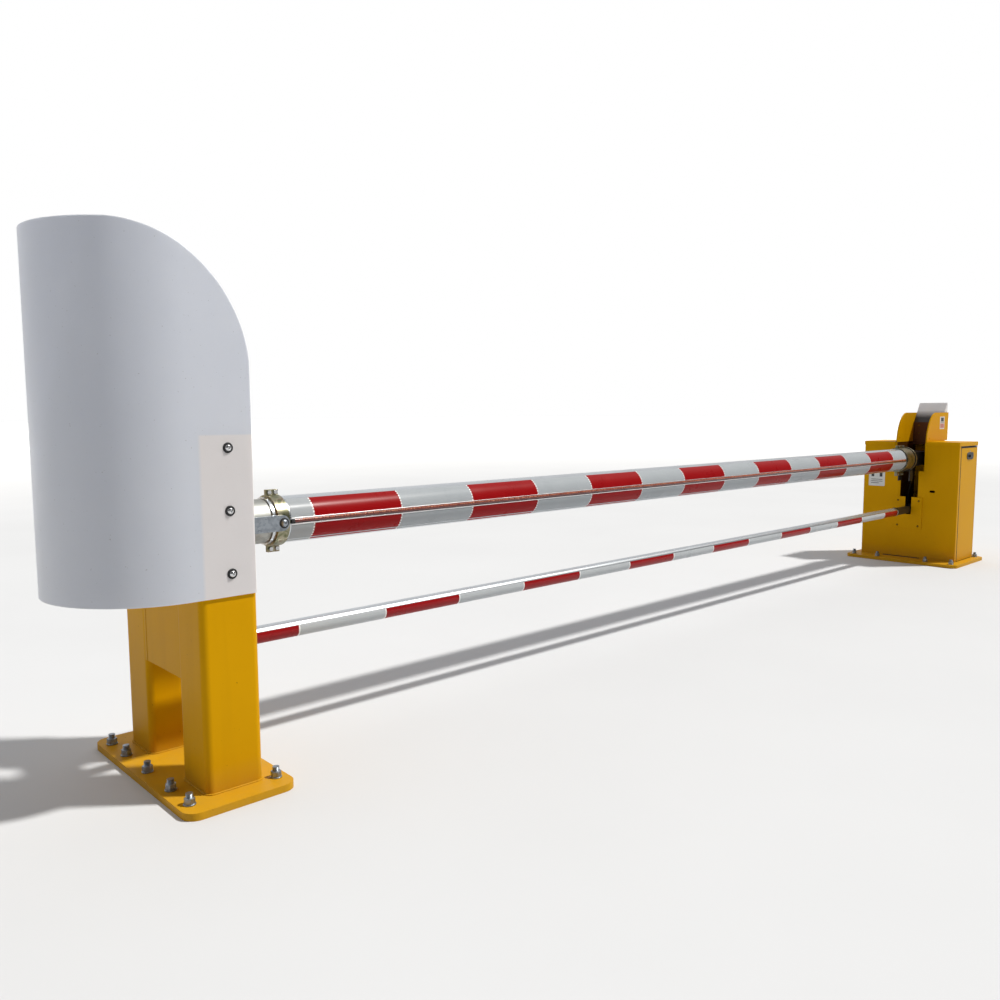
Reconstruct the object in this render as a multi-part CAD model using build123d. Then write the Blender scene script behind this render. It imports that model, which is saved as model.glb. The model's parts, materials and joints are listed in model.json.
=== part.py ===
from build123d import *
import math
import os

os.makedirs("parts", exist_ok=True)

# Parking barrier gate, in millimetres. +Z is up, the boom runs from the cabinet toward -X, and the
# ground point under the centre of the cabinet is the origin. Everything is centred on Y = 0.

# Driving dimensions.
PLATE_T = 25.4           # both base plates
POST_X = -6651.0         # outer face of the catch post's columns
COLUMN = 203.2
COLUMN_GAP = 279.4
COLUMN_TOP = 1224.4
CABINET_X = 406.4
CABINET_Y = 784.0
CABINET_TOP = 1023.0
EAR_TOP = 1270.0
SKIN = 5.0               # cabinet sheet steel
CHEEK_T = 9.5
SLOT_Y = 235.0           # clear width between the cheek plates
CHANNEL_Y = 148.0        # narrower channel below the slot
PIVOT_X, PIVOT_Z = 0.0, 878.4
RAIL_PIVOT_X, RAIL_PIVOT_Z = -178.0, 441.4
BOOM_R = 91.0
BOOM_WALL = 5.0
RAIL_R = 34.3
SHAFT_R = 30.0
RUN = 0.05               # radial running clearance of a turning pin
OPEN_FIT = 0.40          # radial clearance at the two pivots left open

FX = -CABINET_X / 2      # cabinet front face
RX = CABINET_X / 2       # cabinet rear face
HY = CABINET_Y / 2
CHEEK_IN = SLOT_Y / 2
CHEEK_OUT = CHEEK_IN + CHEEK_T


def block(x0, x1, y0, y1, z0, z1):
    """Rectangular solid between two opposite corners."""
    return Pos((x0 + x1) / 2, (y0 + y1) / 2, (z0 + z1) / 2) * Box(x1 - x0, abs(y1 - y0), z1 - z0)


def rod_x(x0, x1, y, z, radius):
    return Pos((x0 + x1) / 2, y, z) * Rot(0, 90, 0) * Cylinder(radius, x1 - x0)


def rod_y(x, z, y0, y1, radius):
    return Pos(x, (y0 + y1) / 2, z) * Rot(90, 0, 0) * Cylinder(radius, abs(y1 - y0))


def rod_z(x, y, z0, z1, radius):
    return Pos(x, y, (z0 + z1) / 2) * Cylinder(radius, z1 - z0)


def outline_y(points, y0, y1):
    """Flat plate whose outline is given in X and Z, between two Y values."""
    face = make_face(Polyline(*[(x, y0, z) for x, z in points], close=True))
    return extrude(face, amount=y1 - y0, dir=(0, 1, 0))


def link_y(ax, az, bx, bz, radius, y0, y1):
    """Flat bar with round ends from A to B, lying between two Y values."""
    run = math.hypot(bx - ax, bz - az)
    nx = -(bz - az) / run * radius
    nz = (bx - ax) / run * radius
    bar = outline_y([(ax + nx, az + nz), (bx + nx, bz + nz), (bx - nx, bz - nz), (ax - nx, az - nz)], y0, y1)
    return bar + rod_y(ax, az, y0, y1, radius) + rod_y(bx, bz, y0, y1, radius)


def shell_sector(x0, x1, z, r_in, r_out, low_deg, high_deg, side):
    """Curved strip on a tube along X; angles go up from the horizontal on the stated side."""
    def at(radius, degrees):
        turn = math.radians(degrees)
        return (x0, side * radius * math.cos(turn), z + radius * math.sin(turn))
    middle = (low_deg + high_deg) / 2
    edges = [
        Line(at(r_in, low_deg), at(r_out, low_deg)),
        ThreePointArc(at(r_out, low_deg), at(r_out, middle), at(r_out, high_deg)),
        Line(at(r_out, high_deg), at(r_in, high_deg)),
        ThreePointArc(at(r_in, high_deg), at(r_in, middle), at(r_in, low_deg)),
    ]
    return extrude(make_face(edges), amount=x1 - x0, dir=(1, 0, 0))


def bolt_y(x, z, y_head, y_end, shank_r, head_r, head_h):
    """Bolt along Y with its head outside y_head and its shank running to y_end."""
    outward = 1 if y_head > y_end else -1
    head = extrude(RegularPolygon(head_r, 6), amount=head_h)
    head = Pos(x, y_head, z) * Rot(-90 * outward, 0, 0) * head
    return head + rod_y(x, z, y_head, y_end, shank_r)


def screw_x(x_face, y, z, shank_r, head_r, head_h, depth):
    """Button-head screw driven into a face that looks toward -X."""
    head = rod_x(x_face - head_h, x_face, y, z, head_r)
    return head + rod_x(x_face, x_face + depth, y, z, shank_r)


def save(name, shape):
    export_step(shape, f"parts/{name}.step")


# ---------------------------------------------------------------- catch post
POST_PLATE_X = 393.0
POST_PLATE_Y = 876.0
POST_MID_X = POST_X + 86.5
POST_ANCHOR_X = 154.5
POST_ANCHOR_Y = (0.0, 205.0, 356.0)
ANCHOR_HOLE_R = 14.0
COLUMN_X = POST_X + COLUMN / 2
COLUMN_Y = (COLUMN_GAP + COLUMN) / 2
POST_HALF_Y = COLUMN_GAP / 2 + COLUMN

plate = extrude(RectangleRounded(POST_PLATE_X, POST_PLATE_Y, 50), amount=PLATE_T)
for i in (-1, 1):
    for y in POST_ANCHOR_Y:
        for side in (-1, 1):
            plate -= Pos(i * POST_ANCHOR_X, side * y, PLATE_T / 2) * Cylinder(ANCHOR_HOLE_R, PLATE_T * 2)
save("post_base_plate", Pos(POST_MID_X, 0, 0) * plate)

# Two square tubes with rounded corners, each closed by a welded cap. Three bolt holes a side take the guard.
GUARD_BOLT_X = POST_X + 110.0
GUARD_BOLT_Z = [760.4, 969.4, 1176.4]
CAP_T = 6.0
tube = extrude(RectangleRounded(COLUMN, COLUMN, 25) - RectangleRounded(COLUMN - 12.7, COLUMN - 12.7, 18.65),
               amount=COLUMN_TOP - CAP_T - PLATE_T)
columns = []
caps = []
for side in (-1, 1):
    column = Pos(COLUMN_X, side * COLUMN_Y, PLATE_T) * tube
    for z in GUARD_BOLT_Z:
        column -= rod_y(GUARD_BOLT_X, z, side * (POST_HALF_Y - 20), side * (POST_HALF_Y + 20), 6.5)
    columns.append(column)
    cap = extrude(RectangleRounded(COLUMN, COLUMN, 25), amount=CAP_T)
    caps.append(Pos(COLUMN_X, side * COLUMN_Y, COLUMN_TOP - CAP_T) * cap)
save("post_columns", Compound(children=columns))
save("post_column_caps", Compound(children=caps))

# Cross plate welded flush with the columns' outer faces, open below for the lower rail's end.
WEB_T = 9.5
save("post_web_plate", block(POST_X + 2, POST_X + 2 + WEB_T, -COLUMN_GAP / 2, COLUMN_GAP / 2, 385.4, 700.0))

# Angle brackets on the columns' inner faces carry rubber pads, with room between them for the rail.
SADDLE_TOP = PIVOT_Z - 57.0
PAD_T = 25.0
SADDLE_IN = 66.0
brackets = []
pads = []
for side in (-1, 1):
    wall = side * COLUMN_GAP / 2
    shelf = block(POST_X + 28, POST_X + 178, wall, side * SADDLE_IN, SADDLE_TOP - 10, SADDLE_TOP)
    rib = block(POST_X + 98, POST_X + 108, wall, side * (COLUMN_GAP / 2 - 50), SADDLE_TOP - 60, SADDLE_TOP - 10)
    leg = block(POST_X + 28, POST_X + 178, wall, side * (COLUMN_GAP / 2 - 8), SADDLE_TOP - 80, SADDLE_TOP - 10)
    brackets.append(shelf + rib + leg)
    pads.append(block(POST_X + 33, POST_X + 173, side * (COLUMN_GAP / 2 - 4), side * (SADDLE_IN + 4),
                      SADDLE_TOP, SADDLE_TOP + PAD_T))
save("saddle_brackets", Compound(children=brackets))
save("saddle_pads", Compound(children=pads))

# Plastic guard sheet bent round the outer end of the post, with its two upper corners rounded off.
GUARD_T = 6.35
GUARD_END_X = POST_X + 195.0
GUARD_ARC_X = POST_X - 25.0
GUARD_BOTTOM = 684.8
GUARD_TOP = 1876.0
GUARD_CORNER_R = 457.0
GUARD_IN = POST_HALF_Y + 0.3
GUARD_OUT = GUARD_IN + GUARD_T
edges = [
    Line((GUARD_END_X, -GUARD_OUT), (GUARD_ARC_X, -GUARD_OUT)),
    ThreePointArc((GUARD_ARC_X, -GUARD_OUT), (GUARD_ARC_X - GUARD_OUT, 0), (GUARD_ARC_X, GUARD_OUT)),
    Line((GUARD_ARC_X, GUARD_OUT), (GUARD_END_X, GUARD_OUT)),
    Line((GUARD_END_X, GUARD_OUT), (GUARD_END_X, GUARD_IN)),
    Line((GUARD_END_X, GUARD_IN), (GUARD_ARC_X, GUARD_IN)),
    ThreePointArc((GUARD_ARC_X, GUARD_IN), (GUARD_ARC_X - GUARD_IN, 0), (GUARD_ARC_X, -GUARD_IN)),
    Line((GUARD_ARC_X, -GUARD_IN), (GUARD_END_X, -GUARD_IN)),
    Line((GUARD_END_X, -GUARD_IN), (GUARD_END_X, -GUARD_OUT)),
]
guard = Pos(0, 0, GUARD_BOTTOM) * extrude(make_face(edges), amount=GUARD_TOP - GUARD_BOTTOM)
run_end = GUARD_END_X - GUARD_ARC_X + 1.5
rise_end = GUARD_TOP + 0.8
corner_points = []
for i in range(25):
    turn = math.radians(90 * i / 24)
    run = run_end - GUARD_CORNER_R + GUARD_CORNER_R * math.cos(turn)
    x = GUARD_ARC_X + run
    if run < 0:
        x = GUARD_ARC_X - GUARD_OUT * math.sin(-run / GUARD_OUT)
    corner_points.append((x, -500, rise_end - GUARD_CORNER_R + GUARD_CORNER_R * math.sin(turn)))
first = corner_points[0]
last = corner_points[-1]
trim = [
    Spline(*corner_points),
    Line(last, (last[0], -500, GUARD_TOP + 60)),
    Line((last[0], -500, GUARD_TOP + 60), (first[0] + 60, -500, GUARD_TOP + 60)),
    Line((first[0] + 60, -500, GUARD_TOP + 60), (first[0] + 60, -500, first[2])),
    Line((first[0] + 60, -500, first[2]), first),
]
guard -= extrude(make_face(trim), amount=1000, dir=(0, 1, 0))
washers = []
bolts = []
for side in (-1, 1):
    for z in GUARD_BOLT_Z:
        guard -= rod_y(GUARD_BOLT_X, z, side * (GUARD_IN - 5), side * (GUARD_OUT + 5), 6.5)
        ring = rod_y(GUARD_BOLT_X, z, side * GUARD_OUT, side * (GUARD_OUT + 3), 17.5)
        washers.append(ring - rod_y(GUARD_BOLT_X, z, side * GUARD_OUT, side * (GUARD_OUT + 3), 6.2))
        head = rod_y(GUARD_BOLT_X, z, side * (GUARD_OUT + 3), side * (GUARD_OUT + 9), 11)
        bolts.append(head + rod_y(GUARD_BOLT_X, z, side * (GUARD_OUT + 3), side * (GUARD_OUT - 32), 6.0))
save("end_guard", guard)
save("guard_washers", Compound(children=washers))
save("guard_bolts", Compound(children=bolts))

# ---------------------------------------------------------------- cabinet shell
BASE_X0, BASE_X1 = -373.0, 285.0
BASE_Y = 920.0
BASE_INSET = 57.0
ANCHOR_Y_OUT = 405.0
ANCHOR_Y_IN = 200.0
CONDUIT_R = 50.0
base = extrude(RectangleRounded(BASE_X1 - BASE_X0, BASE_Y, 50), amount=PLATE_T)
base = Pos((BASE_X0 + BASE_X1) / 2, 0, 0) * base
for x in (BASE_X0 + BASE_INSET, BASE_X1 - BASE_INSET):
    for y in (-ANCHOR_Y_OUT, -ANCHOR_Y_IN, ANCHOR_Y_IN, ANCHOR_Y_OUT):
        base -= Pos(x, y, PLATE_T / 2) * Cylinder(ANCHOR_HOLE_R, PLATE_T * 2)
base -= Pos(-110, -290, PLATE_T / 2) * Cylinder(CONDUIT_R, PLATE_T * 2)
save("cabinet_base_plate", base)

# Front sheet with the stepped slot for the boom and rail, side returns and a stop lip behind each door.
SHELL_TOP = 1016.0
SLOT_STEP = 774.5
CHANNEL_LOW = 365.0
DOOR_X0 = -169.0
front = block(FX, FX + SKIN, -HY, HY, PLATE_T, SHELL_TOP)
front -= block(FX - 5, FX + 10, -CHEEK_IN, CHEEK_IN, SLOT_STEP, SHELL_TOP + 5)
front -= block(FX - 5, FX + 10, -CHANNEL_Y / 2, CHANNEL_Y / 2, CHANNEL_LOW, SLOT_STEP + 1)
for y in (-203.5, -177.5):
    front -= rod_x(FX - 5, FX + 10, y, 605.4, 9.5)
front -= block(FX - 5, FX + 10, -203.5, -177.5, 595.9, 614.9)
for side in (-1, 1):
    front += block(FX, DOOR_X0 - 4, side * HY, side * (HY - SKIN), PLATE_T, SHELL_TOP)
    front += block(DOOR_X0 - 9, DOOR_X0 - 4, side * (HY - SKIN), side * 368, PLATE_T, SHELL_TOP)
    front += block(DOOR_X0 - 4, DOOR_X0 + 19, side * 373, side * 368, PLATE_T, SHELL_TOP)
COVER_SCREWS = [(-86, 517.4), (86, 517.4), (-86, 302.4), (86, 302.4)]
for y, z in COVER_SCREWS:
    front -= rod_x(FX - 5, FX + 10, y, z, 4.2)
save("cabinet_front_panel", front)
save("cabinet_rear_panel", block(RX - SKIN, RX, -HY, HY, PLATE_T, SHELL_TOP))

# The two inner cheek plates stand on the base plate and rise above the roof as curved ears.
EAR_RUN = 188.2
EAR_BASE = 1018.0
EAR_REAR = 255.0         # the ears overhang the cabinet's rear face above its roof
bearing_bolt_at = [(PIVOT_X + i * 62, PIVOT_Z + j * 62) for i in (-1, 1) for j in (-1, 1)]
GEAR_X, GEAR_Z = 20.0, 476.0
gear_bolt_at = [(GEAR_X + i * 68 - 15, GEAR_Z + j * 74) for i in (-1, 1) for j in (-1, 1)]
DEFLECTOR_BOLT_Z = [1091.0, 1156.0]


def cheek(side):
    lower = FX + SKIN
    rear = RX - SKIN
    y0 = side * CHEEK_IN if side > 0 else side * CHEEK_OUT
    ear_x = lower + EAR_RUN
    arc = [(ear_x - EAR_RUN * math.cos(math.radians(t)),
            y0, EAR_BASE + (EAR_TOP - EAR_BASE) * math.sin(math.radians(t))) for t in range(0, 91, 6)]
    edges = [
        Line((rear, y0, PLATE_T), (lower, y0, PLATE_T)),
        Line((lower, y0, PLATE_T), arc[0]),
        Spline(*arc, tangents=[(0, 0, 1), (1, 0, 0)]),
        Line(arc[-1], (EAR_REAR, y0, EAR_TOP)),
        Line((EAR_REAR, y0, EAR_TOP), (EAR_REAR, y0, CABINET_TOP + 6)),
        Line((EAR_REAR, y0, CABINET_TOP + 6), (rear, y0, CABINET_TOP + 6)),
        Line((rear, y0, CABINET_TOP + 6), (rear, y0, PLATE_T)),
    ]
    plate = extrude(make_face(edges), amount=CHEEK_T, dir=(0, 1, 0))
    plate -= rod_y(PIVOT_X, PIVOT_Z, -200, 200, 45)
    plate -= rod_y(-150, 1052, -200, 200, 8)
    for x, z in bearing_bolt_at:
        plate -= rod_y(x, z, -200, 200, 6.5)
    if side < 0:
        for x, z in gear_bolt_at:
            plate -= rod_y(x, z, -200, 200, 6.5)
    return plate


save("cheek_plate_near", cheek(-1))
save("cheek_plate_far", cheek(1))

# Roof caps over the two side bays, with an inner flange that the door lock's cam turns behind.
CAP_OVER = 4.8
LOCK_X, LOCK_Z = 34.0, 905.4
roofs = []
for side in (-1, 1):
    inner = side * (CHEEK_OUT + 0.5)
    outer = side * (HY + 3.0)
    roof = block(FX - CAP_OVER, RX + CAP_OVER, inner, outer, 991.0, CABINET_TOP)
    roof -= block(FX - CAP_OVER + 3, RX + CAP_OVER - 3, side * CHEEK_OUT, side * (HY + 0.0), 985, CABINET_TOP - 5)
    roof += block(-145, 170, side * 373, side * 370, 930, CABINET_TOP - 5)
    roofs.append(roof)
save("cabinet_top_caps", Compound(children=roofs))

# Steel plate between the ears behind the raised boom, and the plastic deflector fixed to it: a sloping face
# with a three-cornered flange down each side.
BACK_X = 129.0
back = block(BACK_X, BACK_X + 6, -CHEEK_IN, CHEEK_IN, 991.0, 1186)
back += block(BACK_X + 6, RX - SKIN, -CHEEK_IN, CHEEK_IN, 991.0, 997.0)
DEFLECT_X0 = BACK_X + 6.0
DEFLECT_TOP = 1355.0
deflector_line = [(DEFLECT_X0, 1066), (DEFLECT_X0 + 8, 1066), (DEFLECT_X0 + 8, 1184), (EAR_REAR, DEFLECT_TOP - 4),
                  (EAR_REAR - 7, DEFLECT_TOP), (DEFLECT_X0, 1186)]
deflector = outline_y(deflector_line, -CHEEK_IN + 1, CHEEK_IN - 1)
flange_line = [(DEFLECT_X0 + 5, 1184), (EAR_REAR, DEFLECT_TOP - 4), (EAR_REAR, 1184)]
for side in (-1, 1):
    wall = side * (CHEEK_IN - 1)
    deflector += outline_y(flange_line, min(wall, wall - side * 6), max(wall, wall - side * 6))
screws = []
for y in (-70, 70):
    for z in DEFLECTOR_BOLT_Z:
        back -= rod_x(BACK_X - 5, BACK_X + 20, y, z, 4.2)
        deflector -= rod_x(BACK_X - 5, BACK_X + 20, y, z, 4.2)
        screws.append(screw_x(BACK_X, y, z, 4.0, 8, 4, 16))
save("slot_back_plate", back)
save("boom_deflector", deflector)

# Removable plate over the rail's pivot, with a round-cornered notch open at the top.
COVER_T = 6.0
cover = block(FX - COVER_T, FX, -115, 115, 277.0, 550.4)
notch = block(FX - 10, FX + 5, -25.5, 25.5, 411.4, 565) + block(FX - 10, FX + 5, -13.5, 13.5, 399.4, 414)
notch += rod_x(FX - 10, FX + 5, -13.5, 411.4, 12) + rod_x(FX - 10, FX + 5, 13.5, 411.4, 12)
cover -= notch
for y, z in COVER_SCREWS:
    cover -= rod_x(FX - 10, FX + 5, y, z, 4.2)
    screws.append(screw_x(FX - COVER_T, y, z, 4.0, 8, 4, 16))
save("rail_cover_plate", cover)
save("panel_screws", Compound(children=screws))

# ---------------------------------------------------------------- drive inside the cabinet
# Flanged bearings on the outer faces of the cheek plates carry the main shaft.
bearings = []
machine_bolts = []
for side in (-1, 1):
    housing = block(PIVOT_X - 80, PIVOT_X + 80, side * CHEEK_OUT, side * (CHEEK_OUT + 18), PIVOT_Z - 80, PIVOT_Z + 80)
    housing += rod_y(PIVOT_X, PIVOT_Z, side * (CHEEK_OUT - 9), side * (CHEEK_OUT + 32), 44)
    housing -= rod_y(PIVOT_X, PIVOT_Z, side * 100, side * 200, SHAFT_R + RUN)
    for x, z in bearing_bolt_at:
        housing -= rod_y(x, z, side * 100, side * 200, 6.5)
        machine_bolts.append(bolt_y(x, z, side * (CHEEK_OUT + 18), side * (CHEEK_IN + 1), 6.0, 11, 8))
    bearings.append(housing)
save("bearing_housings", Compound(children=bearings))

# Gearmotor on the near cheek: worm gearbox with the motor hanging below it.
GEAR_Y0, GEAR_Y1 = -CHEEK_OUT, -195.0
CRANK_SHAFT_R = 25.0
gearbox = block(GEAR_X - 95, GEAR_X + 65, GEAR_Y0, GEAR_Y1, 391, 566)
gearbox += rod_y(GEAR_X, GEAR_Z, GEAR_Y1, GEAR_Y1 - 4, 48)
gearbox -= rod_y(GEAR_X, GEAR_Z, GEAR_Y1 + 32, GEAR_Y1 - 6, CRANK_SHAFT_R + RUN)
for x, z in gear_bolt_at:
    gearbox -= rod_y(x, z, -100, -230, 6.5)
    machine_bolts.append(bolt_y(x, z, GEAR_Y1, -CHEEK_IN - 1, 6.0, 11, 8))
MOTOR_X, MOTOR_Y = -25.0, -194.0
motor = rod_z(MOTOR_X, MOTOR_Y, 156, 378, 60) + rod_z(MOTOR_X, MOTOR_Y, 378, 391, 66)
motor += rod_z(MOTOR_X, MOTOR_Y, 124, 156, 56)
motor += block(MOTOR_X - 100, MOTOR_X - 50, MOTOR_Y - 35, MOTOR_Y + 35, 256, 336)
save("gearbox", gearbox)
save("motor", motor)
save("machine_bolts", Compound(children=machine_bolts))

# Balance spring coiled round the far end of the main shaft, held between an anchor and the shaft's collar.
SPRING_R, SPRING_WIRE, SPRING_PITCH, SPRING_TURNS = 58.0, 7.0, 16.6, 9.5
SPRING_Y0 = 176.0
coil = Helix(SPRING_PITCH, SPRING_PITCH * SPRING_TURNS, SPRING_R, center=(PIVOT_X, SPRING_Y0, PIVOT_Z),
             direction=(0, 1, 0))
wire = Plane(origin=coil @ 0, z_dir=coil % 0) * Circle(SPRING_WIRE)
save("balance_spring", sweep(wire, path=coil, is_frenet=True))
anchor = rod_y(PIVOT_X, PIVOT_Z, 161, 168, 74) + block(-108, 108, 161, 168, PIVOT_Z - 20, PIVOT_Z + 20)
anchor -= rod_y(PIVOT_X, PIVOT_Z, 150, 180, 36)
for x in (-98, 98):
    anchor += rod_y(x, PIVOT_Z, CHEEK_OUT, 161, 9)
save("spring_anchor", anchor)

control = block(-140, 100, CHEEK_OUT, 300, 330, 720) - block(-136, 96, CHEEK_OUT + 4, 296, 334, 716)
save("control_box", control)

switches = []
for z in (PIVOT_Z - 30, PIVOT_Z + 6):
    arm = block(-120, -104, -CHEEK_OUT, -262, z, z + 24)
    switches.append(arm + block(-104, -54, -262, -240, z, z + 24))
save("limit_switches", Compound(children=switches))

# Pedestal with two ears that carry the lower rail's pivot.
PEDESTAL_HALF = 36.0
pedestal = block(-145, -65, -PEDESTAL_HALF, PEDESTAL_HALF, PLATE_T, 481) - block(-139, -71, -30, 30, PLATE_T, 475)
for side in (-1, 1):
    pedestal += block(RAIL_PIVOT_X, -145, side * 26, side * PEDESTAL_HALF, 419, 464)
    pedestal += rod_y(RAIL_PIVOT_X, RAIL_PIVOT_Z, side * 26, side * PEDESTAL_HALF, 22.5)
PIN_R = 10.0
pedestal -= rod_y(RAIL_PIVOT_X, RAIL_PIVOT_Z, -50, 50, PIN_R + RUN)
save("rail_pedestal", pedestal)

# ---------------------------------------------------------------- boom
TUBE_X0, TUBE_X1 = POST_X + 404.0, -350.0
TAPE_X0, TAPE_X1 = POST_X + 478.0, POST_X + 6136.0
LUG_X = 90.0             # arm of the linkage that carries the lower rail
ROD_Y0, ROD_Y1 = 60.0, 70.0
TONGUE_BOLT_X = POST_X + 435.0
tongue_hole = rod_y(TONGUE_BOLT_X, PIVOT_Z, -140, 140, 10.2)
TIP_BAND_X = (POST_X + 420.0, POST_X + 468.0)
BUTT_BAND_X = (POST_X + 6156.0, POST_X + 6296.0)

tube = rod_x(TUBE_X0, TUBE_X1, 0, PIVOT_Z, BOOM_R) - rod_x(TUBE_X0 - 5, TUBE_X1 + 5, 0, PIVOT_Z, BOOM_R - BOOM_WALL)
for side in (-1, 1):
    tube += block(TUBE_X0, TUBE_X1, side * 77, side * 87.5, PIVOT_Z - 15, PIVOT_Z + 15)
    tube -= block(TUBE_X0 - 5, TUBE_X1 + 5, side * 82, side * 100, PIVOT_Z - 8, PIVOT_Z + 8)
save("boom_tube", tube - tongue_hole)

# Light rope in the groove along each side, with a plug at each end.
ropes = []
rope_caps = []
for side in (-1, 1):
    ropes.append(rod_x(TAPE_X0 + 14, TAPE_X1 - 14, side * 88.5, PIVOT_Z, 6.2))
    for x0 in (TAPE_X0, TAPE_X1 - 14):
        rope_caps.append(block(x0, x0 + 14, side * 82.2, side * 95, PIVOT_Z - 7.6, PIVOT_Z + 7.6))
save("boom_light_ropes", Compound(children=ropes))
save("boom_light_caps", Compound(children=rope_caps))

# Reflective tape in alternating lengths on both flanks, above and below the light groove.
TAPE_T = 0.5
STRIPE_PITCH, STRIPE_RED, STRIPE_FIRST = 815.6, 420.0, POST_X + 578.0
TAPE_SPAN = 63.0
TAPE_GAP_DEG = math.degrees(math.asin(11.0 / BOOM_R))


def stripes(first, pitch, red, x0, x1):
    """Red and white lengths that fill a tube from x0 to x1."""
    reds = []
    whites = []
    start = first - pitch
    while start < x1:
        lengths = [(reds, start, start + red), (whites, start + red, start + pitch)]
        for kind, low, high in lengths:
            low, high = max(low, x0), min(high, x1)
            if high - low > 1:
                kind.append((low, high))
        start += pitch
    return reds, whites


red_runs, white_runs = stripes(STRIPE_FIRST, STRIPE_PITCH, STRIPE_RED, TAPE_X0, TAPE_X1)
for name, runs in (("boom_tape_red", red_runs), ("boom_tape_white", white_runs)):
    pieces = []
    for x0, x1 in runs:
        for side in (-1, 1):
            pieces.append(shell_sector(x0, x1, PIVOT_Z, BOOM_R, BOOM_R + TAPE_T, TAPE_GAP_DEG, TAPE_SPAN, side))
            pieces.append(shell_sector(x0, x1, PIVOT_Z, BOOM_R, BOOM_R + TAPE_T, -TAPE_SPAN, -TAPE_GAP_DEG, side))
    save(name, Compound(children=pieces))


def clamp_band(x0, x1, top, bottom, bolt_xs):
    """Two half bands round the boom, with lugs above and below that are bolted together."""
    halves = []
    bolts = []
    for side in (-1, 1):
        ring = rod_x(x0, x1, 0, PIVOT_Z, BOOM_R + 8)
        ring += block(x0, x1, side * 1, side * 9, PIVOT_Z + BOOM_R + 2, PIVOT_Z + top)
        ring += block(x0, x1, side * 1, side * 9, PIVOT_Z - bottom, PIVOT_Z - BOOM_R - 2)
        ring -= rod_x(x0 - 5, x1 + 5, 0, PIVOT_Z, BOOM_R)
        ring -= block(x0 - 5, x1 + 5, side * 1, -side * 200, PIVOT_Z - 300, PIVOT_Z + 300)
        halves.append(ring)
    for x in bolt_xs:
        for z in (PIVOT_Z + top - 10, PIVOT_Z - bottom + 13):
            hole = rod_y(x, z, -20, 20, 5.2)
            halves = [half - hole for half in halves]
            head = bolt_y(x, z, -9, 16, 5.0, 8.5, 6)
            nut = Pos(x, 9, z) * Rot(-90, 0, 0) * extrude(RegularPolygon(8.5, 6), amount=6)
            bolts.append(head + nut)
    return halves, bolts


tip_halves, tip_bolts = clamp_band(*TIP_BAND_X, 119, 122, [TIP_BAND_X[0] + 11, TIP_BAND_X[1] - 11])
butt_halves, butt_bolts = clamp_band(*BUTT_BAND_X, 119, 134, [BUTT_BAND_X[0] + 30, BUTT_BAND_X[1] - 30])
save("tip_clamp_halves", Compound(children=[half - tongue_hole for half in tip_halves]))
save("butt_clamp_halves", Compound(children=butt_halves))
save("clamp_bolts", Compound(children=tip_bolts + butt_bolts))

# Sleeve in the boom's tip, tongue bars bolted across it, and the head that hooks behind the columns.
sleeve = rod_x(POST_X + 190, TUBE_X0 - 1, 0, PIVOT_Z, 85) + rod_x(TUBE_X0 - 1, POST_X + 640, 0, PIVOT_Z, 76)
sleeve -= rod_x(POST_X + 185, POST_X + 645, 0, PIVOT_Z, 68)
save("tip_sleeve", sleeve - tongue_hole)
BAR_IN, BAR_OUT = 101.0, 113.7
HEAD_X0, HEAD_X1 = POST_X - 76.0, POST_X - 30.0
bars = []
for side in (-1, 1):
    bar = block(HEAD_X1, TONGUE_BOLT_X - 7, side * BAR_IN, side * BAR_OUT, PIVOT_Z - 30, PIVOT_Z + 30)
    bar += rod_y(TONGUE_BOLT_X - 7, PIVOT_Z, side * BAR_IN, side * BAR_OUT, 30)
    bars.append(bar - tongue_hole)
save("tongue_bars", Compound(children=bars))
bolt = bolt_y(TONGUE_BOLT_X, PIVOT_Z, -BAR_OUT, BAR_OUT + 20, 10.0, 17, 12)
bolt += Pos(TONGUE_BOLT_X, BAR_OUT, PIVOT_Z) * Rot(-90, 0, 0) * extrude(RegularPolygon(17, 6), amount=14)
save("tongue_bolt", bolt)
head = block(HEAD_X0, HEAD_X1, -210, 210, PIVOT_Z - 40, PIVOT_Z + 40)
save("catch_head", fillet(head.edges().filter_by(Axis.Z), 12))

# Two wire ropes inside the boom, each ending in a disc that bears on the sleeve or the hub's stub.
ropes = []
for z in (-40, 40):
    ropes.append(rod_x(POST_X + 660, -620, 0, PIVOT_Z + z, 9.5))
for x0 in (POST_X + 645, -620.0):
    ropes.append(rod_x(x0, x0 + 15, 0, PIVOT_Z, 75))
save("crash_cables", Compound(children=[ropes[0] + ropes[1] + ropes[2] + ropes[3]]))

# Hub: barrel keyed to the shaft, neck, flange and the stub inside the boom's end, and the rail linkage's lug.
FLANGE_X0, FLANGE_X1, FLANGE_R = TUBE_X1 + 5, TUBE_X1 + 25, 104.0
hub = rod_y(PIVOT_X, PIVOT_Z, -88, 88, 62) + block(FLANGE_X1 - 5, 0, -60, 60, PIVOT_Z - 58, PIVOT_Z + 58)
hub += rod_x(FLANGE_X0, FLANGE_X1, 0, PIVOT_Z, FLANGE_R)
hub += rod_x(-600, FLANGE_X0, 0, PIVOT_Z, 76) - rod_x(-605, FLANGE_X0 - 2, 0, PIVOT_Z, 62)
hub += link_y(PIVOT_X, PIVOT_Z, PIVOT_X + LUG_X, PIVOT_Z, 20, 44, 56)
hub += rod_y(PIVOT_X + LUG_X, PIVOT_Z, 56, 76, 9) + rod_y(PIVOT_X + LUG_X, PIVOT_Z, 72, 76, 14)
hub -= rod_y(PIVOT_X, PIVOT_Z, -100, 100, SHAFT_R)
save("boom_hub", hub)

# Two plates under the neck stand astride the lower rail when both are raised.
guides = []
for side in (-1, 1):
    guides.append(block(FLANGE_X1, FLANGE_X1 + 65, side * 40, side * 50, PIVOT_Z - 185, PIVOT_Z - 58))
save("rail_guide_plates", Compound(children=guides))

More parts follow.
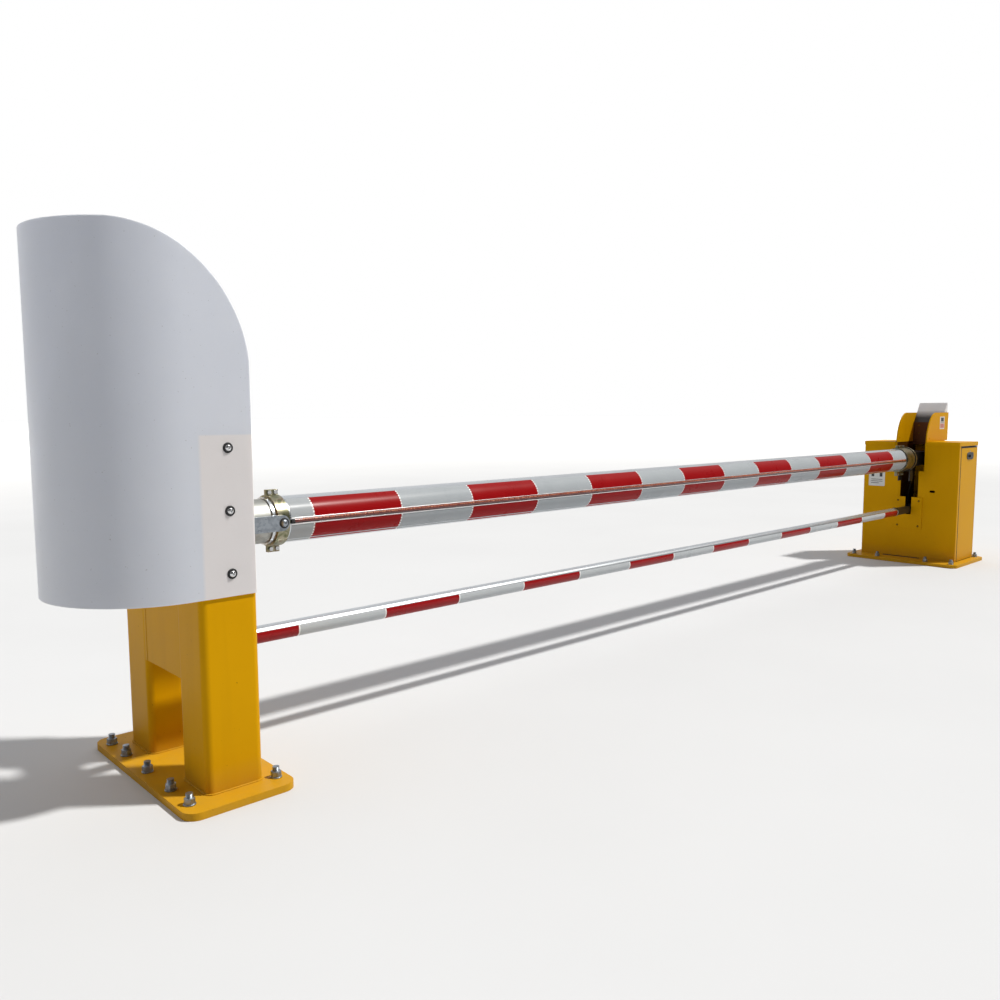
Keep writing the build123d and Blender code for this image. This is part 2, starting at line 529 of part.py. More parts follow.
shaft = rod_y(PIVOT_X, PIVOT_Z, -258, 353, SHAFT_R) + rod_y(PIVOT_X, PIVOT_Z, 344, 351, 74)
save("main_shaft", shaft)

# Drive lever on the shaft, crank on the gearbox and the push rod between them form a parallelogram.
ARM = 92.0
LEVER_Y0, LEVER_Y1 = -221.0, -205.0
PUSH_Y0, PUSH_Y1 = -237.0, -225.0
ARM_PIN_R = 12.0


def lever(x, z, hub_r, bore_r):
    """Lever with a pin that stands out toward -Y and ends in a retaining head."""
    arm = link_y(x, z, x + ARM, z + ARM, 23, LEVER_Y0, LEVER_Y1) + rod_y(x, z, LEVER_Y0, LEVER_Y1, hub_r)
    arm += rod_y(x + ARM, z + ARM, -243, LEVER_Y0, ARM_PIN_R) + rod_y(x + ARM, z + ARM, -243, -239, 17)
    return arm - rod_y(x, z, -230, -200, bore_r)


save("drive_lever", lever(PIVOT_X, PIVOT_Z, 50, SHAFT_R))
crank = lever(GEAR_X, GEAR_Z, 42, CRANK_SHAFT_R - 1) + rod_y(GEAR_X, GEAR_Z, -224, GEAR_Y1 + 30, CRANK_SHAFT_R)
save("drive_crank", crank)
push = link_y(PIVOT_X + ARM, PIVOT_Z + ARM, GEAR_X + ARM, GEAR_Z + ARM, 21, PUSH_Y0, PUSH_Y1)
push -= rod_y(PIVOT_X + ARM, PIVOT_Z + ARM, PUSH_Y0 - 5, PUSH_Y1 + 5, ARM_PIN_R + RUN)
push -= rod_y(GEAR_X + ARM, GEAR_Z + ARM, PUSH_Y0 - 5, PUSH_Y1 + 5, ARM_PIN_R + OPEN_FIT)
save("push_rod", push)

cam = rod_y(PIVOT_X, PIVOT_Z, -252, -246, 48) - block(-60, -38, -260, -240, PIVOT_Z - 8, PIVOT_Z + 8)
save("limit_cam", cam - rod_y(PIVOT_X, PIVOT_Z, -260, -240, SHAFT_R))

# ---------------------------------------------------------------- lower rail
RAIL_X0, RAIL_X1 = POST_X + 60.0, POST_X + 6161.0
rail = rod_x(RAIL_X0, RAIL_X1, 0, RAIL_PIVOT_Z, RAIL_R) - rod_x(RAIL_X0 - 5, RAIL_X1 + 5, 0, RAIL_PIVOT_Z, RAIL_R - 4)
save("lower_rail", rail)
red_runs, white_runs = stripes(POST_X + 120.0, 826.0, 412.0, RAIL_X0 + 20, RAIL_X1 - 5)
for name, runs in (("rail_tape_red", red_runs), ("rail_tape_white", white_runs)):
    pieces = []
    for x0, x1 in runs:
        for side in (-1, 1):
            pieces.append(shell_sector(x0, x1, RAIL_PIVOT_Z, RAIL_R, RAIL_R + TAPE_T, -60, 27, side))
    save(name, Compound(children=pieces))
cap = rod_x(RAIL_X0 - 5, RAIL_X0, 0, RAIL_PIVOT_Z, RAIL_R) + rod_x(RAIL_X0, RAIL_X0 + 18, 0, RAIL_PIVOT_Z, RAIL_R - 4)
save("rail_end_cap", cap)

# Socket in the rail's end and the flat bar to its pivot.
bracket = rod_x(RAIL_X1 - 60, RAIL_X1, 0, RAIL_PIVOT_Z, RAIL_R - 4) + rod_x(RAIL_X1, RAIL_X1 + 12, 0, RAIL_PIVOT_Z, 37)
bracket += block(RAIL_X1 + 12, RAIL_PIVOT_X, -19, 19, RAIL_PIVOT_Z - 28, RAIL_PIVOT_Z + 28)
bracket += rod_y(RAIL_PIVOT_X, RAIL_PIVOT_Z, -19, 19, 28)
save("rail_bracket", bracket - rod_y(RAIL_PIVOT_X, RAIL_PIVOT_Z, -30, 30, PIN_R))

# Pivot pin keyed to the bracket, with the lever that the link rod pulls.
arm = rod_y(RAIL_PIVOT_X, RAIL_PIVOT_Z, -46, 56, PIN_R) + rod_y(RAIL_PIVOT_X, RAIL_PIVOT_Z, -46, -38, 16)
arm += link_y(RAIL_PIVOT_X, RAIL_PIVOT_Z, RAIL_PIVOT_X + LUG_X, RAIL_PIVOT_Z, 18, 44, 56)
arm += rod_y(RAIL_PIVOT_X + LUG_X, RAIL_PIVOT_Z, 56, 76, 9) + rod_y(RAIL_PIVOT_X + LUG_X, RAIL_PIVOT_Z, 72, 76, 14)
save("rail_lever", arm)

sync = link_y(PIVOT_X + LUG_X, PIVOT_Z, RAIL_PIVOT_X + LUG_X, RAIL_PIVOT_Z, 15, ROD_Y0, ROD_Y1)
sync -= rod_y(PIVOT_X + LUG_X, PIVOT_Z, ROD_Y0 - 5, ROD_Y1 + 5, 9 + RUN)
sync -= rod_y(RAIL_PIVOT_X + LUG_X, RAIL_PIVOT_Z, ROD_Y0 - 5, ROD_Y1 + 5, 9 + OPEN_FIT)
save("link_rod", sync)

# ---------------------------------------------------------------- doors
# Pressed doors with a return on every edge, hung on studs at their rear corners.
HINGE_X, HINGE_Y = 183.0, 384.6
DOOR_X1, DOOR_Z0, DOOR_Z1 = 195.0, 30.4, 979.4
DOOR_T, DOOR_DEPTH = 4.0, 15.0
STUD_R, SPINDLE_R = 6.0, 8.0
studs = []
for side, name in ((-1, "near"), (1, "far")):
    door = block(DOOR_X0, DOOR_X1, side * HY, side * (HY - DOOR_DEPTH), DOOR_Z0, DOOR_Z1)
    door -= block(DOOR_X0 + DOOR_T, DOOR_X1 - DOOR_T, side * (HY - DOOR_T), side * 300, DOOR_Z0 + DOOR_T,
                  DOOR_Z1 - DOOR_T)
    door -= rod_z(HINGE_X, side * HINGE_Y, DOOR_Z0 - 5, DOOR_Z0 + 10, STUD_R + RUN)
    door -= rod_z(HINGE_X, side * HINGE_Y, DOOR_Z1 - 10, DOOR_Z1 + 5, STUD_R + RUN)
    door -= rod_y(LOCK_X, LOCK_Z, side * 350, side * 400, SPINDLE_R + RUN)
    save(f"door_{name}", door)
    studs.append(rod_z(HINGE_X, side * HINGE_Y, PLATE_T, DOOR_Z0 + 10, STUD_R))
    studs.append(rod_z(HINGE_X, side * HINGE_Y, DOOR_Z1 - 10, CABINET_TOP - 5, STUD_R))
    lock = rod_y(LOCK_X, LOCK_Z, side * 361, side * (HY + 1), SPINDLE_R)
    lock += rod_y(LOCK_X, LOCK_Z, side * (HY + 1), side * (HY + 7), 15)
    lock += block(LOCK_X - 26, LOCK_X + 26, side * (HY + 7), side * (HY + 17), LOCK_Z - 7, LOCK_Z + 7)
    lock += block(LOCK_X - 9, LOCK_X + 9, side * 361, side * 365, LOCK_Z - 10, LOCK_Z + 46)
    save(f"door_lock_{name}", lock)
save("door_hinge_studs", Compound(children=studs))
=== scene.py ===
import json
import math
import random

import bmesh
import bpy
from mathutils import Matrix, Vector


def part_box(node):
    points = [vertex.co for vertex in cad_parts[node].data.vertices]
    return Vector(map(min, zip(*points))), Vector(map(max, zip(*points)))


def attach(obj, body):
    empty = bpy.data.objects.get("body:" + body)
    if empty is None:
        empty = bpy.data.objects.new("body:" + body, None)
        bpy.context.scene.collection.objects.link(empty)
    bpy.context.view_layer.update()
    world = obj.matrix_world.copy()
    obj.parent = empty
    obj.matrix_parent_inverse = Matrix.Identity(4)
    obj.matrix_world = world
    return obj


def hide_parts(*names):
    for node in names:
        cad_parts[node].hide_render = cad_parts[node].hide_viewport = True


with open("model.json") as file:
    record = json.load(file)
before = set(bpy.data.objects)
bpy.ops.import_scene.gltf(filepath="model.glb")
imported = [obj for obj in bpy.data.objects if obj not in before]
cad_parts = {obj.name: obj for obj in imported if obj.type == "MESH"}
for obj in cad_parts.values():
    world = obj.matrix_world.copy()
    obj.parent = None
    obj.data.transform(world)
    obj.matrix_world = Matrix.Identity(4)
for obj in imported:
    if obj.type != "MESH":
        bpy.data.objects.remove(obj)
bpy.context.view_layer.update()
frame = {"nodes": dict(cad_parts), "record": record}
MM = 0.001

# ---------------------------------------------------------------- Studio
# A pale floor under an even white backdrop, a soft sky that is brighter behind the object for fill, and one
# key light high on the right, so that roadside faces and tops are lit and the faces towards the post are in
# shade.


def linear(colour):
    """An sRGB hex colour as the linear colour that shaders take."""
    parts = [int(colour[i:i + 2], 16) / 255 for i in (1, 3, 5)]
    return [c / 12.92 if c <= 0.04045 else ((c + 0.055) / 1.055) ** 2.4 for c in parts] + [1.0]


def add(tree, kind, inputs=None, **settings):
    """Adds a node. A node given as an input is linked by its first output, a socket by itself."""
    node = tree.nodes.new(kind)
    for key, value in settings.items():
        setattr(node, key, value)
    for key, value in (inputs or {}).items():
        socket = node.inputs[key] if isinstance(key, int) else next(
            s for s in node.inputs if s.enabled and s.name == key)
        if isinstance(value, bpy.types.Node):
            value = next(s for s in value.outputs if s.enabled)
        if isinstance(value, bpy.types.NodeSocket):
            tree.links.new(value, socket)
        else:
            socket.default_value = value
    return node


def new_finish(name):
    """An empty material, its node tree, and the place on the piece that its patterns are laid out by."""
    material = bpy.data.materials.new(name)
    material.use_nodes = True
    material.node_tree.nodes.clear()
    return material, material.node_tree, add(material.node_tree, "ShaderNodeTexCoord").outputs["Object"]


def mottle(tree, where, scale, detail, tone_a, tone_b, rough=0.5):
    """Cloudy noise over a surface, and two tones mixed by it."""
    cloud = add(tree, "ShaderNodeTexNoise", {"Vector": where, "Scale": scale, "Detail": detail,
                                             "Roughness": rough})
    return cloud, add(tree, "ShaderNodeMix", {"Factor": cloud, "A": linear(tone_a), "B": linear(tone_b)},
                      data_type="RGBA")


def close_finish(tree, inputs):
    """Ends a material: its surface, from the settings and patterns given."""
    surface = add(tree, "ShaderNodeBsdfPrincipled", inputs)
    add(tree, "ShaderNodeOutputMaterial", {"Surface": surface})


scene = bpy.context.scene
scene.view_settings.view_transform = "Standard"
post_low, post_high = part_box("post_columns")

CAMERA_FROM_POST = Vector((-1.1548, -3.0106, 1.2867))
HEADING, DOWN, ROLL = math.radians(47.0845), math.radians(5.7953), math.radians(-0.2575)
LENS_PER_FRAME = 0.861886
forward = Vector((math.cos(HEADING) * math.cos(DOWN), math.sin(HEADING) * math.cos(DOWN), -math.sin(DOWN)))
level = Vector((math.sin(HEADING), -math.cos(HEADING), 0))
above = level.cross(forward)
right = level * math.cos(ROLL) + above * math.sin(ROLL)
upward = above * math.cos(ROLL) - level * math.sin(ROLL)
camera_data = bpy.data.cameras.new("camera")
camera_data.sensor_width = 36
camera_data.lens = LENS_PER_FRAME * camera_data.sensor_width
camera_data.clip_end = 400
camera = bpy.data.objects.new("camera", camera_data)
stand_at = Vector((post_low.x, 0, 0)) + CAMERA_FROM_POST
camera.matrix_world = Matrix.Translation(stand_at) @ Matrix((right, upward, -forward)).transposed().to_4x4()
scene.collection.objects.link(camera)
scene.camera = camera

key_data = bpy.data.lights.new("key_light", "SUN")
KEY_ENERGY, KEY_SPREAD = 3.6, math.radians(4)
key_data.energy = KEY_ENERGY
key_data.angle = KEY_SPREAD
key_data.color = linear("#FFFDF8")[:3]
key = bpy.data.objects.new("key_light", key_data)
KEY_FROM = Vector((0.45, -0.36, 0.80))
key.rotation_euler = KEY_FROM.to_track_quat("Z", "Y").to_euler()
scene.collection.objects.link(key)

FILL, FILL_BEHIND_CAMERA, FILL_FROM = 0.88, 0.12, (0.15, 0.90, 0.42)
world = bpy.data.worlds.new("studio_sky")
world.use_nodes = True
world.node_tree.nodes.clear()
aim = add(world.node_tree, "ShaderNodeTexCoord").outputs["Generated"]
toward = add(world.node_tree, "ShaderNodeVectorMath", {0: aim, 1: FILL_FROM}, operation="DOT_PRODUCT")
strength = add(world.node_tree, "ShaderNodeMapRange", {"Value": toward.outputs["Value"], "From Min": -0.15,
                                                       "From Max": 0.9, "To Min": FILL_BEHIND_CAMERA,
                                                       "To Max": FILL})
fill = add(world.node_tree, "ShaderNodeBackground", {"Color": linear("#F5F5F6"), "Strength": strength})
backdrop = add(world.node_tree, "ShaderNodeBackground", {"Color": linear("#FFFFFF"), "Strength": 1.0})
path = add(world.node_tree, "ShaderNodeLightPath")
sky = add(world.node_tree, "ShaderNodeMixShader", {0: path.outputs["Is Camera Ray"], 1: fill, 2: backdrop})
add(world.node_tree, "ShaderNodeOutputWorld", {"Surface": sky})
scene.world = world

floor_paint, tree, where = new_finish("studio_floor_paint")
out_from = add(tree, "ShaderNodeVectorMath", {0: where}, operation="LENGTH")
far = add(tree, "ShaderNodeMapRange", {"Value": out_from.outputs["Value"], "From Min": 9.0,
                                       "From Max": 30.0})
_, near_tone = mottle(tree, where, 0.7, 3.0, "#CFD0D2", "#D6D7D9")
tone = add(tree, "ShaderNodeMix", {"Factor": far, "A": near_tone, "B": linear("#FBFBFB")}, data_type="RGBA")
close_finish(tree, {"Base Color": tone, "Roughness": 0.9})
FLOOR_HALF = 150.0
floor_mesh = bpy.data.meshes.new("floor")
floor_mesh.from_pydata([(-FLOOR_HALF, -FLOOR_HALF, 0), (FLOOR_HALF, -FLOOR_HALF, 0),
                        (FLOOR_HALF, FLOOR_HALF, 0), (-FLOOR_HALF, FLOOR_HALF, 0)], [], [(0, 1, 2, 3)])
floor_mesh.materials.append(floor_paint)
floor = bpy.data.objects.new("floor", floor_mesh)
scene.collection.objects.link(floor)

# ---------------------------------------------------------------- Post, base plates and cabinet plates
# Welded mild steel plate and square tube, blasted, sprayed with golden yellow polyester powder and baked.
# The powder rounds the cut edges, has a fine orange peel and a soft gloss, and road dust dulls its foot.
# Inside the cabinet the sheets are painted dark brown: painted shade where little light reaches.


def assign(material, *nodes):
    """Gives CAD nodes one material in every slot."""
    for name in nodes:
        mesh = frame["nodes"][name].data
        if not mesh.materials:
            mesh.materials.append(material)
        for i in range(len(mesh.materials)):
            mesh.materials[i] = material


def relief(tree, height, strength, depth, edge):
    """A fine raised pattern over edges that are rounded off."""
    rounding = add(tree, "ShaderNodeBevel", {"Radius": edge}, samples=4)
    return add(tree, "ShaderNodeBump", {"Height": height, "Strength": strength, "Distance": depth,
                                        "Normal": rounding})


PEEL = 2.4 * MM          # real orange peel is about 1 mm across; drawn coarse enough to show
EDGE = 1.8 * MM          # how far the powder rounds a cut edge
DUST_TOP = 120 * MM
IN_X, IN_Y, ROOF_UNDER = 197 * MM, 388.5 * MM, 1018 * MM       # just within the cabinet's sheets
powder_coat, tree, where = new_finish("yellow_powder_coat")
drift, tone = mottle(tree, where, 2.3, 4.0, "#CB9301", "#D69E02", 0.55)
place = add(tree, "ShaderNodeSeparateXYZ", {"Vector": where})
splash = add(tree, "ShaderNodeTexNoise", {"Vector": where, "Scale": 24.0, "Detail": 6.0, "Roughness": 0.7})
low_down = add(tree, "ShaderNodeMapRange", {"Value": place.outputs["Z"], "From Min": 0.0,
                                            "From Max": DUST_TOP, "To Min": 0.45, "To Max": 0.0})
dust = add(tree, "ShaderNodeMath", {0: low_down, 1: splash}, operation="MULTIPLY")
dusty = add(tree, "ShaderNodeMix", {"Factor": dust, "A": tone, "B": linear("#9C8455")}, data_type="RGBA")
runs = add(tree, "ShaderNodeMapping", {"Vector": where, "Scale": (16.0, 16.0, 0.8)})
rain = add(tree, "ShaderNodeTexNoise", {"Vector": runs, "Scale": 1.0, "Detail": 3.0})
streak = add(tree, "ShaderNodeMapRange", {"Value": rain, "From Min": 0.55, "From Max": 0.85, "To Max": 0.22})
streaked = add(tree, "ShaderNodeMix", {"Factor": streak, "A": dusty, "B": linear("#B07F05")},
               data_type="RGBA")
chips = add(tree, "ShaderNodeTexNoise", {"Vector": where, "Scale": 110.0, "Detail": 2.0})
chip_mask = add(tree, "ShaderNodeMapRange", {"Value": chips, "From Min": 0.74, "From Max": 0.78,
                                             "To Max": 0.6})
stained = add(tree, "ShaderNodeMix", {"Factor": chip_mask, "A": streaked, "B": linear("#6E4A08")},
              data_type="RGBA")
# Painted shade: everything within the cabinet's sheets is mixed to dark brown.
inside_shade_mask = 1.0
for axis, limit in (("X", IN_X), ("Y", IN_Y), ("Z", ROOF_UNDER)):
    off_centre = add(tree, "ShaderNodeMath", {0: place.outputs[axis]}, operation="ABSOLUTE")
    within = add(tree, "ShaderNodeMath", {0: off_centre, 1: limit}, operation="LESS_THAN")
    inside_shade_mask = add(tree, "ShaderNodeMath", {0: within, 1: inside_shade_mask}, operation="MULTIPLY")
inside_painted_shade = add(tree, "ShaderNodeMix", {"Factor": inside_shade_mask, "A": stained, "B": linear("#4A2C0C")},
             data_type="RGBA")
gloss = add(tree, "ShaderNodeMapRange", {"Value": drift, "To Min": 0.30, "To Max": 0.42})
peel = add(tree, "ShaderNodeTexNoise", {"Vector": where, "Scale": 1 / PEEL, "Detail": 1.0})
skin = relief(tree, peel, 0.12, 0.4 * MM, EDGE)
close_finish(tree, {"Base Color": inside_painted_shade, "Roughness": gloss, "Normal": skin, "IOR": 1.5,
                    "Specular IOR Level": 0.04})
assign(powder_coat, "post_base_plate", "post_columns", "post_column_caps", "post_web_plate",
       "saddle_brackets", "cabinet_base_plate", "cabinet_front_panel", "cabinet_rear_panel",
       "cheek_plate_near", "cheek_plate_far", "cabinet_top_caps", "rail_cover_plate", "door_near",
       "door_far")

# ---------------------------------------------------------------- Weld seams
# Fillet welds laid by hand round the columns' feet, up both sides of the cross plate and along the
# cabinet's foot, then powder coated with the rest. The bead shows as small overlapping scallops.


def chains(name, paths):
    """Loose edge chains that a Geometry Nodes tree can follow; each path is closed or open."""
    mesh = bpy.data.meshes.new(name)
    points, edges = [], []
    for path, closed in paths:
        start = len(points)
        points += [tuple(p) for p in path]
        edges += [(start + i, start + i + 1) for i in range(len(path) - 1)]
        if closed:
            edges.append((start + len(path) - 1, start))
    mesh.from_pydata(points, edges, [])
    piece = bpy.data.objects.new(name, mesh)
    scene.collection.objects.link(piece)
    return piece


def both_sides(x0, x1, y, z):
    """One straight line along X on each side of the middle plane."""
    return [([Vector((x0, side * y, z)), Vector((x1, side * y, z))], False) for side in (-1, 1)]


def new_recipe(name, **sizes):
    """A Geometry Nodes tree with a geometry input, named float inputs and a material input."""
    tree = bpy.data.node_groups.new(name, "GeometryNodeTree")
    tree.interface.new_socket("Geometry", in_out="INPUT", socket_type="NodeSocketGeometry")
    for label, value in sizes.items():
        tree.interface.new_socket(label, in_out="INPUT", socket_type="NodeSocketFloat").default_value = value
    tree.interface.new_socket("Finish", in_out="INPUT", socket_type="NodeSocketMaterial")
    tree.interface.new_socket("Geometry", in_out="OUTPUT", socket_type="NodeSocketGeometry")
    return tree, add(tree, "NodeGroupInput").outputs


def close_recipe(tree, shape, finish):
    """Ends a tree: real geometry, in its finish."""
    whole = add(tree, "GeometryNodeRealizeInstances", {"Geometry": shape})
    painted = add(tree, "GeometryNodeSetMaterial", {"Geometry": whole, "Material": finish})
    add(tree, "NodeGroupOutput", {"Geometry": painted})


def make(piece, tree, material, body, slot, sharp=35, **sizes):
    """Runs a tree on a piece with its sizes, keeps the result as a plain mesh and puts it on a body."""
    modifier = piece.modifiers.new(tree.name, "NODES")
    modifier.node_group = tree
    values = dict(sizes, Finish=material)
    for item in tree.interface.items_tree:
        if item.item_type == "SOCKET" and item.in_out == "INPUT" and item.name in values:
            modifier[item.identifier] = values[item.name]
    graph = bpy.context.evaluated_depsgraph_get()
    mesh = bpy.data.meshes.new_from_object(piece.evaluated_get(graph))
    piece.modifiers.clear()
    piece.data = mesh
    mesh.shade_smooth()
    mesh.set_sharp_from_angle(angle=math.radians(sharp))
    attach(piece, body)
    return piece


def finish_mesh(name, mesh, material, body, sharp=35):
    """Turns built geometry into a piece on a body, with its faces outwards and its hard edges kept."""
    bmesh.ops.remove_doubles(mesh, verts=mesh.verts, dist=0.000001)
    bmesh.ops.recalc_face_normals(mesh, faces=mesh.faces)
    data = bpy.data.meshes.new(name)
    mesh.to_mesh(data)
    mesh.free()
    data.materials.append(material)
    data.shade_smooth()
    data.set_sharp_from_angle(angle=math.radians(sharp))
    piece = bpy.data.objects.new(name, data)
    scene.collection.objects.link(piece)
    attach(piece, body)
    return piece


BEAD_R, RIPPLE = 4.0 * MM, 5.0 * MM
weld_bead, given = new_recipe("weld_bead", Radius=BEAD_R, Ripple=RIPPLE)
line = add(weld_bead, "GeometryNodeMeshToCurve", {"Mesh": given["Geometry"]})
half_step = add(weld_bead, "ShaderNodeMath", {0: given["Ripple"], 1: 0.5}, operation="MULTIPLY")
steps = add(weld_bead, "GeometryNodeResampleCurve", {"Curve": line, "Length": half_step}, mode="LENGTH")
odd = add(weld_bead, "ShaderNodeMath", {0: add(weld_bead, "GeometryNodeInputIndex"), 1: 2.0},
          operation="MODULO")
wander = add(weld_bead, "FunctionNodeRandomValue", {"Min": 0.82, "Max": 1.0, "Seed": 3}, data_type="FLOAT")
scallop = add(weld_bead, "ShaderNodeMath", {0: odd, 1: -0.16, 2: wander}, operation="MULTIPLY_ADD")
thick = add(weld_bead, "ShaderNodeMath", {0: scallop, 1: given["Radius"]}, operation="MULTIPLY")
ring = add(weld_bead, "GeometryNodeCurvePrimitiveCircle", {"Resolution": 7, "Radius": 1.0})
swept = add(weld_bead, "GeometryNodeCurveToMesh", {"Curve": steps, "Profile Curve": ring, "Scale": thick,
                                                   "Fill Caps": True})
close_recipe(weld_bead, swept, given["Finish"])

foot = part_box("post_base_plate")[1].z
web_low, web_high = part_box("post_web_plate")
front_low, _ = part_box("cabinet_front_panel")
rear_low, rear_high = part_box("cabinet_rear_panel")
near_in, far_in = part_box("cheek_plate_near")[1].y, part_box("cheek_plate_far")[0].y
COLUMN_SIDE, COLUMN_CORNER, BEAD_OUT = 203.2 * MM, 25.0 * MM, 1.5 * MM
SHEET, FOOT_BEAD_OUT, SEAM_SHORT = 6 * MM, 1 * MM, 20 * MM
seams = []
for side in (-1, 1):
    middle = Vector(((post_low.x + post_high.x) / 2, side * (post_high.y - COLUMN_SIDE / 2),
                     foot + BEAD_OUT))
    reach = COLUMN_SIDE / 2 - COLUMN_CORNER
    loop = []
    for corner, (sx, sy) in enumerate(((1, 1), (-1, 1), (-1, -1), (1, -1))):
        for k in range(5):
            turn = math.radians(90 * corner + 22.5 * k)
            loop.append(middle + Vector((sx * reach + (COLUMN_CORNER + BEAD_OUT) * math.cos(turn),
                                         sy * reach + (COLUMN_CORNER + BEAD_OUT) * math.sin(turn), 0)))
    seams.append((loop, True))
    inner = near_in if side < 0 else far_in
    seams.append(([Vector((front_low.x + SHEET, inner, foot)), Vector((rear_high.x - SHEET, inner, foot))],
                  False))
FOOT_RUNS = ((-380, -110), (200, 380))       # stretches of the front panel's foot that are welded
for y0, y1 in FOOT_RUNS:
    x, z = front_low.x - FOOT_BEAD_OUT, foot + FOOT_BEAD_OUT
    seams.append(([Vector((x, y0 * MM, z)), Vector((x, y1 * MM, z))], False))
x, z = rear_high.x + FOOT_BEAD_OUT, foot + FOOT_BEAD_OUT
seams.append(([Vector((x, rear_low.y + SEAM_SHORT, z)), Vector((x, rear_high.y - SEAM_SHORT, z))], False))
make(chains("weld_seams", seams), weld_bead, powder_coat, "root", "yellow_steel", sharp=80, Radius=BEAD_R,
     Ripple=RIPPLE)

# The gap between cross plate and column is filled by hand up each side, so the filler's inner edge wavers.
FILL_W, FILL_FACE, FILL_GAP, WAVER, FILL_STEPS = 20.5 * MM, 1.0 * MM, 1.5 * MM, 0.9 * MM, 40
chance = random.Random(4)
for side, name in ((-1, "near"), (1, "far")):
    rises = [web_low.z + (web_high.z - web_low.z) * k / FILL_STEPS for k in range(FILL_STEPS + 1)]
    inner = [side * (web_high.y + FILL_GAP + WAVER * chance.uniform(-1, 1)) for _ in rises]
    outer = side * (web_high.y + FILL_W)
    fill = bmesh.new()
    rows = []
    face = post_low.x + FILL_FACE
    for y_in, z in zip(inner, rises):
        corners = ((web_high.x, y_in), (face, y_in), (face, outer), (web_high.x, outer))
        rows.append([fill.verts.new((x, y, z)) for x, y in corners])
    for lower, upper in zip(rows, rows[1:]):
        for k in range(4):
            fill.faces.new((lower[k], lower[(k + 1) % 4], upper[(k + 1) % 4], upper[k]))
    fill.faces.new(rows[0])
    fill.faces.new(rows[-1])
    finish_mesh(f"web_fill_{name}", fill, powder_coat, "root")

# ---------------------------------------------------------------- Anchor studs, washers and nuts
# Hot-dip galvanised M24 studs cast in the foundation, each with a round washer and a chamfered hexagon
# nut. The thread stands a few turns above the nut, and dust and rain have dulled the zinc.


def points(name, spots):
    """Loose points, each with the turn that its piece takes there."""
    mesh = bpy.data.meshes.new(name)
    mesh.from_pydata([tuple(place) for place, _ in spots], [], [])
    turns = mesh.attributes.new("turn", "FLOAT_VECTOR", "POINT")
    for i, (_, turn) in enumerate(spots):
        turns.data[i].vector = turn
    piece = bpy.data.objects.new(name, mesh)
    scene.collection.objects.link(piece)
    return piece


def put_on_points(tree, given, piece):
    """Stands a piece on each point, turned as the point says."""
    turn = add(tree, "GeometryNodeInputNamedAttribute", {"Name": "turn"}, data_type="FLOAT_VECTOR")
    return add(tree, "GeometryNodeInstanceOnPoints", {"Points": given["Geometry"], "Instance": piece,
                                                      "Rotation": turn})


def join(tree, *parts):
    """Several shapes as one."""
    joined = add(tree, "GeometryNodeJoinGeometry")
    for part in parts:
        tree.links.new(part.outputs[0], joined.inputs[0])
    return joined


def metal_finish(name, light, dark, rough, spangle):
    """Plated or bare metal: patches of slightly different tone, and roughness that follows them."""
    material, tree, where = new_finish(name)
    crystals = add(tree, "ShaderNodeTexVoronoi", {"Vector": where, "Scale": 1 / spangle})
    haze = add(tree, "ShaderNodeTexNoise", {"Vector": where, "Scale": 14.0, "Detail": 5.0})
    facet = add(tree, "ShaderNodeSeparateColor", {"Color": crystals.outputs["Color"]})
    blend = add(tree, "ShaderNodeMath", {0: facet, 1: haze}, operation="MULTIPLY")
    tone = add(tree, "ShaderNodeMix", {"Factor": blend, "A": linear(light), "B": linear(dark)},
               data_type="RGBA")
    rough_map = add(tree, "ShaderNodeMapRange", {"Value": blend, "To Min": rough - 0.06,
                                                 "To Max": rough + 0.14})
    grain = add(tree, "ShaderNodeTexNoise", {"Vector": where, "Scale": 900.0, "Detail": 2.0})
    bump = relief(tree, grain, 0.12, 0.2 * MM, 0.9 * MM)
    close_finish(tree, {"Base Color": tone, "Metallic": 1.0, "Roughness": rough_map, "Normal": bump})
    return material


galvanised = metal_finish("hot_dip_galvanised_steel", "#A3AAB2", "#6C727A", 0.45, 9 * MM)
STUD_R, STUD_UP, PITCH = 12.0 * MM, 39.0 * MM, 3.0 * MM
NUT_R, NUT_H, WASHER_R, WASHER_H = 18.6 * MM, 19.0 * MM, 20.5 * MM, 3.5 * MM
anchor_set, given = new_recipe("anchor_set", Stud=STUD_R, Height=STUD_UP, Pitch=PITCH)
top = add(anchor_set, "ShaderNodeCombineXYZ", {"Z": given["Height"]})
stem = add(anchor_set, "GeometryNodeCurvePrimitiveLine", {"End": top})
half_pitch = add(anchor_set, "ShaderNodeMath", {0: given["Pitch"], 1: 0.5}, operation="MULTIPLY")
turns = add(anchor_set, "GeometryNodeResampleCurve", {"Curve": stem, "Length": half_pitch}, mode="LENGTH")
odd = add(anchor_set, "ShaderNodeMath", {0: add(anchor_set, "GeometryNodeInputIndex"), 1: 2.0},
          operation="MODULO")
crest = add(anchor_set, "ShaderNodeMath", {0: odd, 1: -0.11, 2: 1.0}, operation="MULTIPLY_ADD")
wide = add(anchor_set, "ShaderNodeMath", {0: crest, 1: given["Stud"]}, operation="MULTIPLY")
ring = add(anchor_set, "GeometryNodeCurvePrimitiveCircle", {"Resolution": 14, "Radius": 1.0})
thread = add(anchor_set, "GeometryNodeCurveToMesh", {"Curve": turns, "Profile Curve": ring, "Scale": wide,
                                                     "Fill Caps": True})
parts = [thread]
